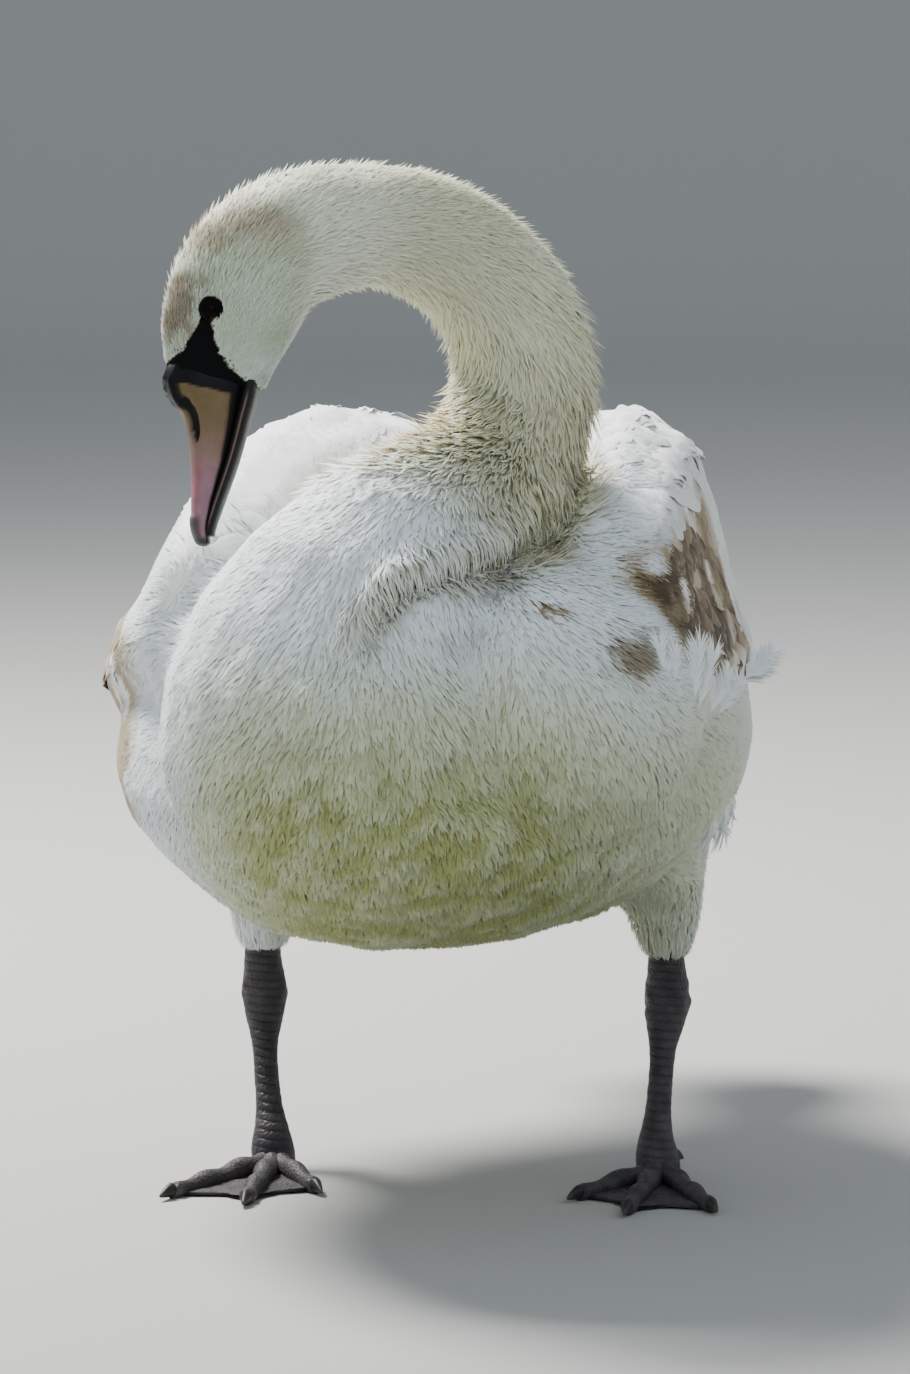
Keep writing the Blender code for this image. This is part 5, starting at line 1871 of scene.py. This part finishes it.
class SWAN_OT_skin(bpy.types.Operator):
    """The skin under the coat, in one piece from the face to the tail"""

    bl_idname = "swan.skin"
    bl_label = "Skin"

    def execute(self, context):
        mesh = make_skin_mesh()
        points = sculpt(mesh_points(mesh), mesh_points(mesh, "normal"))
        move_points(mesh, points)
        mesh.materials.clear()
        mesh.materials.append(material("swan skin"))
        mesh.shade_smooth()
        obj = link_object("skin", mesh)
        unwrap(obj)
        own = points - SHIFT
        colours = markings(own) * (0.92, 0.91, 0.86)
        # The skin at the root of the neck and in its fold: a stain, with painted shade in the fold.
        colours = mix(colours, COLOURS["stain"], stain_and_fold_shade(own))
        colours = mix(colours, COLOURS["bare"], bare_face(own))
        set_colours(obj, colours)
        remember_skin(obj)
        finish_piece(obj, "feathers_white", *FLESH)
        return {"FINISHED"}


class SWAN_OT_neck_feathers(bpy.types.Operator):
    """Shaggy tufts down the neck"""

    bl_idname = "swan.neck_feathers"
    bl_label = "Neck feathers"

    def execute(self, context):
        make_neck_feathers(context.scene.swan_coat)
        return {"FINISHED"}


class SWAN_OT_body_feathers(bpy.types.Operator):
    """Contour feathers and wisps on the body"""

    bl_idname = "swan.body_feathers"
    bl_label = "Body feathers"

    def execute(self, context):
        make_body_feathers(context.scene.swan_coat)
        return {"FINISHED"}


class SWAN_OT_plumes(bpy.types.Operator):
    """Loose feathers over the left flank and behind the thigh"""

    bl_idname = "swan.plumes"
    bl_label = "Plumes"

    def execute(self, context):
        make_plumes(context.scene.swan_coat)
        return {"FINISHED"}


class SWAN_OT_head_feathers(bpy.types.Operator):
    """Short feathers on the head"""

    bl_idname = "swan.head_feathers"
    bl_label = "Head feathers"

    def execute(self, context):
        make_head_feathers(context.scene.swan_coat)
        return {"FINISHED"}


class SWAN_OT_wing_feathers(bpy.types.Operator):
    """Coverts and quills of the folded wings"""

    bl_idname = "swan.wing_feathers"
    bl_label = "Wing feathers"

    def execute(self, context):
        for word in SIDES.values():
            make_coverts(word)
        for word in SIDES.values():
            make_primaries(word, context.scene.swan_coat)
        return {"FINISHED"}


class SWAN_OT_tail(bpy.types.Operator):
    """The fan of the tail"""

    bl_idname = "swan.tail"
    bl_label = "Tail"

    def execute(self, context):
        make_tail(context.scene.swan_coat)
        return {"FINISHED"}


class SWAN_OT_bill(bpy.types.Operator):
    """Both halves of the bill"""

    bl_idname = "swan.bill"
    bl_label = "Bill"

    def execute(self, context):
        make_upper_bill(context.scene.swan_head)
        make_lower_bill()
        return {"FINISHED"}


class SWAN_OT_eyes(bpy.types.Operator):
    """Eyeballs and lids"""

    bl_idname = "swan.eyes"
    bl_label = "Eyes"

    def execute(self, context):
        for side in SIDES:
            make_eyeball(side, context.scene.swan_head)
            make_eyelid(side, context.scene.swan_head)
        return {"FINISHED"}


class SWAN_OT_legs(bpy.types.Operator):
    """Bare legs, webbed feet and claws"""

    bl_idname = "swan.legs"
    bl_label = "Legs and feet"

    def execute(self, context):
        for side in SIDES:
            make_shank(side)
            make_foot(side)
        return {"FINISHED"}


# The camera: degrees round the bird and up, its distance, and its aim to the right and up.
CAMERA_AZIMUTH = 8.5
CAMERA_ELEVATION = 6.0
CAMERA_DISTANCE = 3.6
CAMERA_AIM = (-0.003, 0.2568)

# The floor runs from -FLOOR_REACH to FLOOR_REACH, then curves up into a backdrop.
FLOOR_REACH = 7.0
FLOOR_RADIUS = 1.5


def look_from(azimuth, elevation):
    """Axes right, up and back of a camera at that azimuth and elevation."""
    a, e = radians(azimuth), radians(elevation)
    back = np.array([sin(a) * cos(e), -cos(a) * cos(e), sin(e)])
    right = np.array([cos(a), sin(a), 0.0])
    return right, np.cross(back, right), back


def make_camera(settings):
    """The camera: its axes and its place are the columns of its matrix."""
    right, up, back = look_from(CAMERA_AZIMUTH, CAMERA_ELEVATION)
    place = right * CAMERA_AIM[0] + UP * CAMERA_AIM[1] + SHIFT + back * CAMERA_DISTANCE
    camera = link_object("camera", bpy.data.cameras.new("camera"))
    camera.data.sensor_width = 36.0
    camera.data.lens = settings.lens
    matrix = Matrix.Identity(4)
    for column, axis in enumerate((right, up, back, place)):
        for row in range(3):
            matrix[row][column] = axis[row]
    camera.matrix_world = matrix
    bpy.context.scene.camera = camera


def make_floor(settings):
    """A floor that curves up behind in a quarter of a circle and goes on as a backdrop."""
    t = np.linspace(0, 1, 60)
    turn = np.clip((t - 0.55) / 0.15, 0, 1) * pi / 2
    flat = -FLOOR_REACH + 2 * FLOOR_REACH * t / 0.55
    y = np.where(t < 0.55, flat, FLOOR_REACH + FLOOR_RADIUS * np.sin(turn))
    z = np.where(t < 0.55, 0.0, FLOOR_RADIUS * (1 - np.cos(turn))) + np.clip(t - 0.70, 0, 1) * 20
    x = np.linspace(-10, 10, 2 + settings.resolution)
    grid = np.stack(np.broadcast_arrays(x[None], y[:, None], z[:, None]), -1)
    n, m = grid.shape[:2]
    i, k = np.arange(n - 1)[:, None], np.arange(m - 1)[None]
    quads = np.stack([i * m + k, i * m + k + 1, (i + 1) * m + k + 1, (i + 1) * m + k], -1)
    finish, _, shader = new_material("plain floor", 0.85)
    shader.inputs["Base Color"].default_value = (*settings.floor, 1)
    starts = np.arange(quads.size // 4) * 4
    floor = new_object("floor", grid.reshape(-1, 3), starts, quads.ravel(), finish)


def make_world():
    """Even bluish light from all round."""
    world = bpy.data.worlds.new("soft studio")
    world.use_nodes = True
    background = world.node_tree.nodes["Background"]
    background.inputs["Color"].default_value = (0.75, 0.82, 0.88, 1)
    background.inputs["Strength"].default_value = 0.88
    bpy.context.scene.world = world


def area_light(name, place, target, size, power, colour):
    """A round light at the place that shines on the target."""
    data = bpy.data.lights.new(name, "AREA")
    data.shape = "DISK"
    data.size = size
    data.energy = power
    data.color = colour
    obj = link_object(name, data)
    obj.location = place
    obj.rotation_euler = (Vector(place) - Vector(target)).to_track_quat("Z", "Y").to_euler()


class SWAN_OT_stage(bpy.types.Operator):
    """Floor, backdrop, lights and camera"""

    bl_idname = "swan.stage"
    bl_label = "Stage"

    def execute(self, context):
        settings = context.scene.swan_stage
        make_camera(settings)
        make_floor(settings)
        area_light("key", (-1.2, 1.0, 2.5), (0, 0, 0.3), 1.0, settings.key, (1.0, 0.97, 0.92))
        area_light("fill", (0.6, -3.0, 1.8), (0, 0, 0.25), 2.4, settings.fill, (0.93, 0.97, 1.0))
        make_world()
        return {"FINISHED"}


class SWAN_PT_panel(bpy.types.Panel):
    """Lists the pieces of the swan"""

    bl_label = "Mute swan"
    bl_idname = "SWAN_PT_panel"
    bl_space_type = "VIEW_3D"
    bl_region_type = "UI"
    bl_category = "Swan"

    def draw(self, context):
        for operator in OPERATORS:
            self.layout.operator(operator.bl_idname)
        for group in ("swan_coat", "swan_head", "swan_stage"):
            settings = getattr(context.scene, group)
            for key in settings.__annotations__:
                self.layout.prop(settings, key)


GROUPS = {"swan_coat": SwanCoat, "swan_head": SwanHead, "swan_stage": SwanStage}
OPERATORS = (
    SWAN_OT_skin,
    SWAN_OT_bill,
    SWAN_OT_eyes,
    SWAN_OT_legs,
    SWAN_OT_head_feathers,
    SWAN_OT_neck_feathers,
    SWAN_OT_body_feathers,
    SWAN_OT_plumes,
    SWAN_OT_wing_feathers,
    SWAN_OT_tail,
    SWAN_OT_stage,
)


def register():
    """Makes the settings, the operators and the panel known."""
    for name, group in GROUPS.items():
        bpy.utils.register_class(group)
        setattr(bpy.types.Scene, name, PointerProperty(type=group))
    for operator in OPERATORS:
        bpy.utils.register_class(operator)
    bpy.utils.register_class(SWAN_PT_panel)


def unregister():
    """Takes them away again, in the opposite order."""
    bpy.utils.unregister_class(SWAN_PT_panel)
    for operator in reversed(OPERATORS):
        bpy.utils.unregister_class(operator)
    for name, group in GROUPS.items():
        delattr(bpy.types.Scene, name)
        bpy.utils.unregister_class(group)


def main():
    """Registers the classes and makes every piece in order."""
    register()
    for operator in OPERATORS:
        family, name = operator.bl_idname.split(".")
        getattr(getattr(bpy.ops, family), name)()


if __name__ == "__main__":
    main()
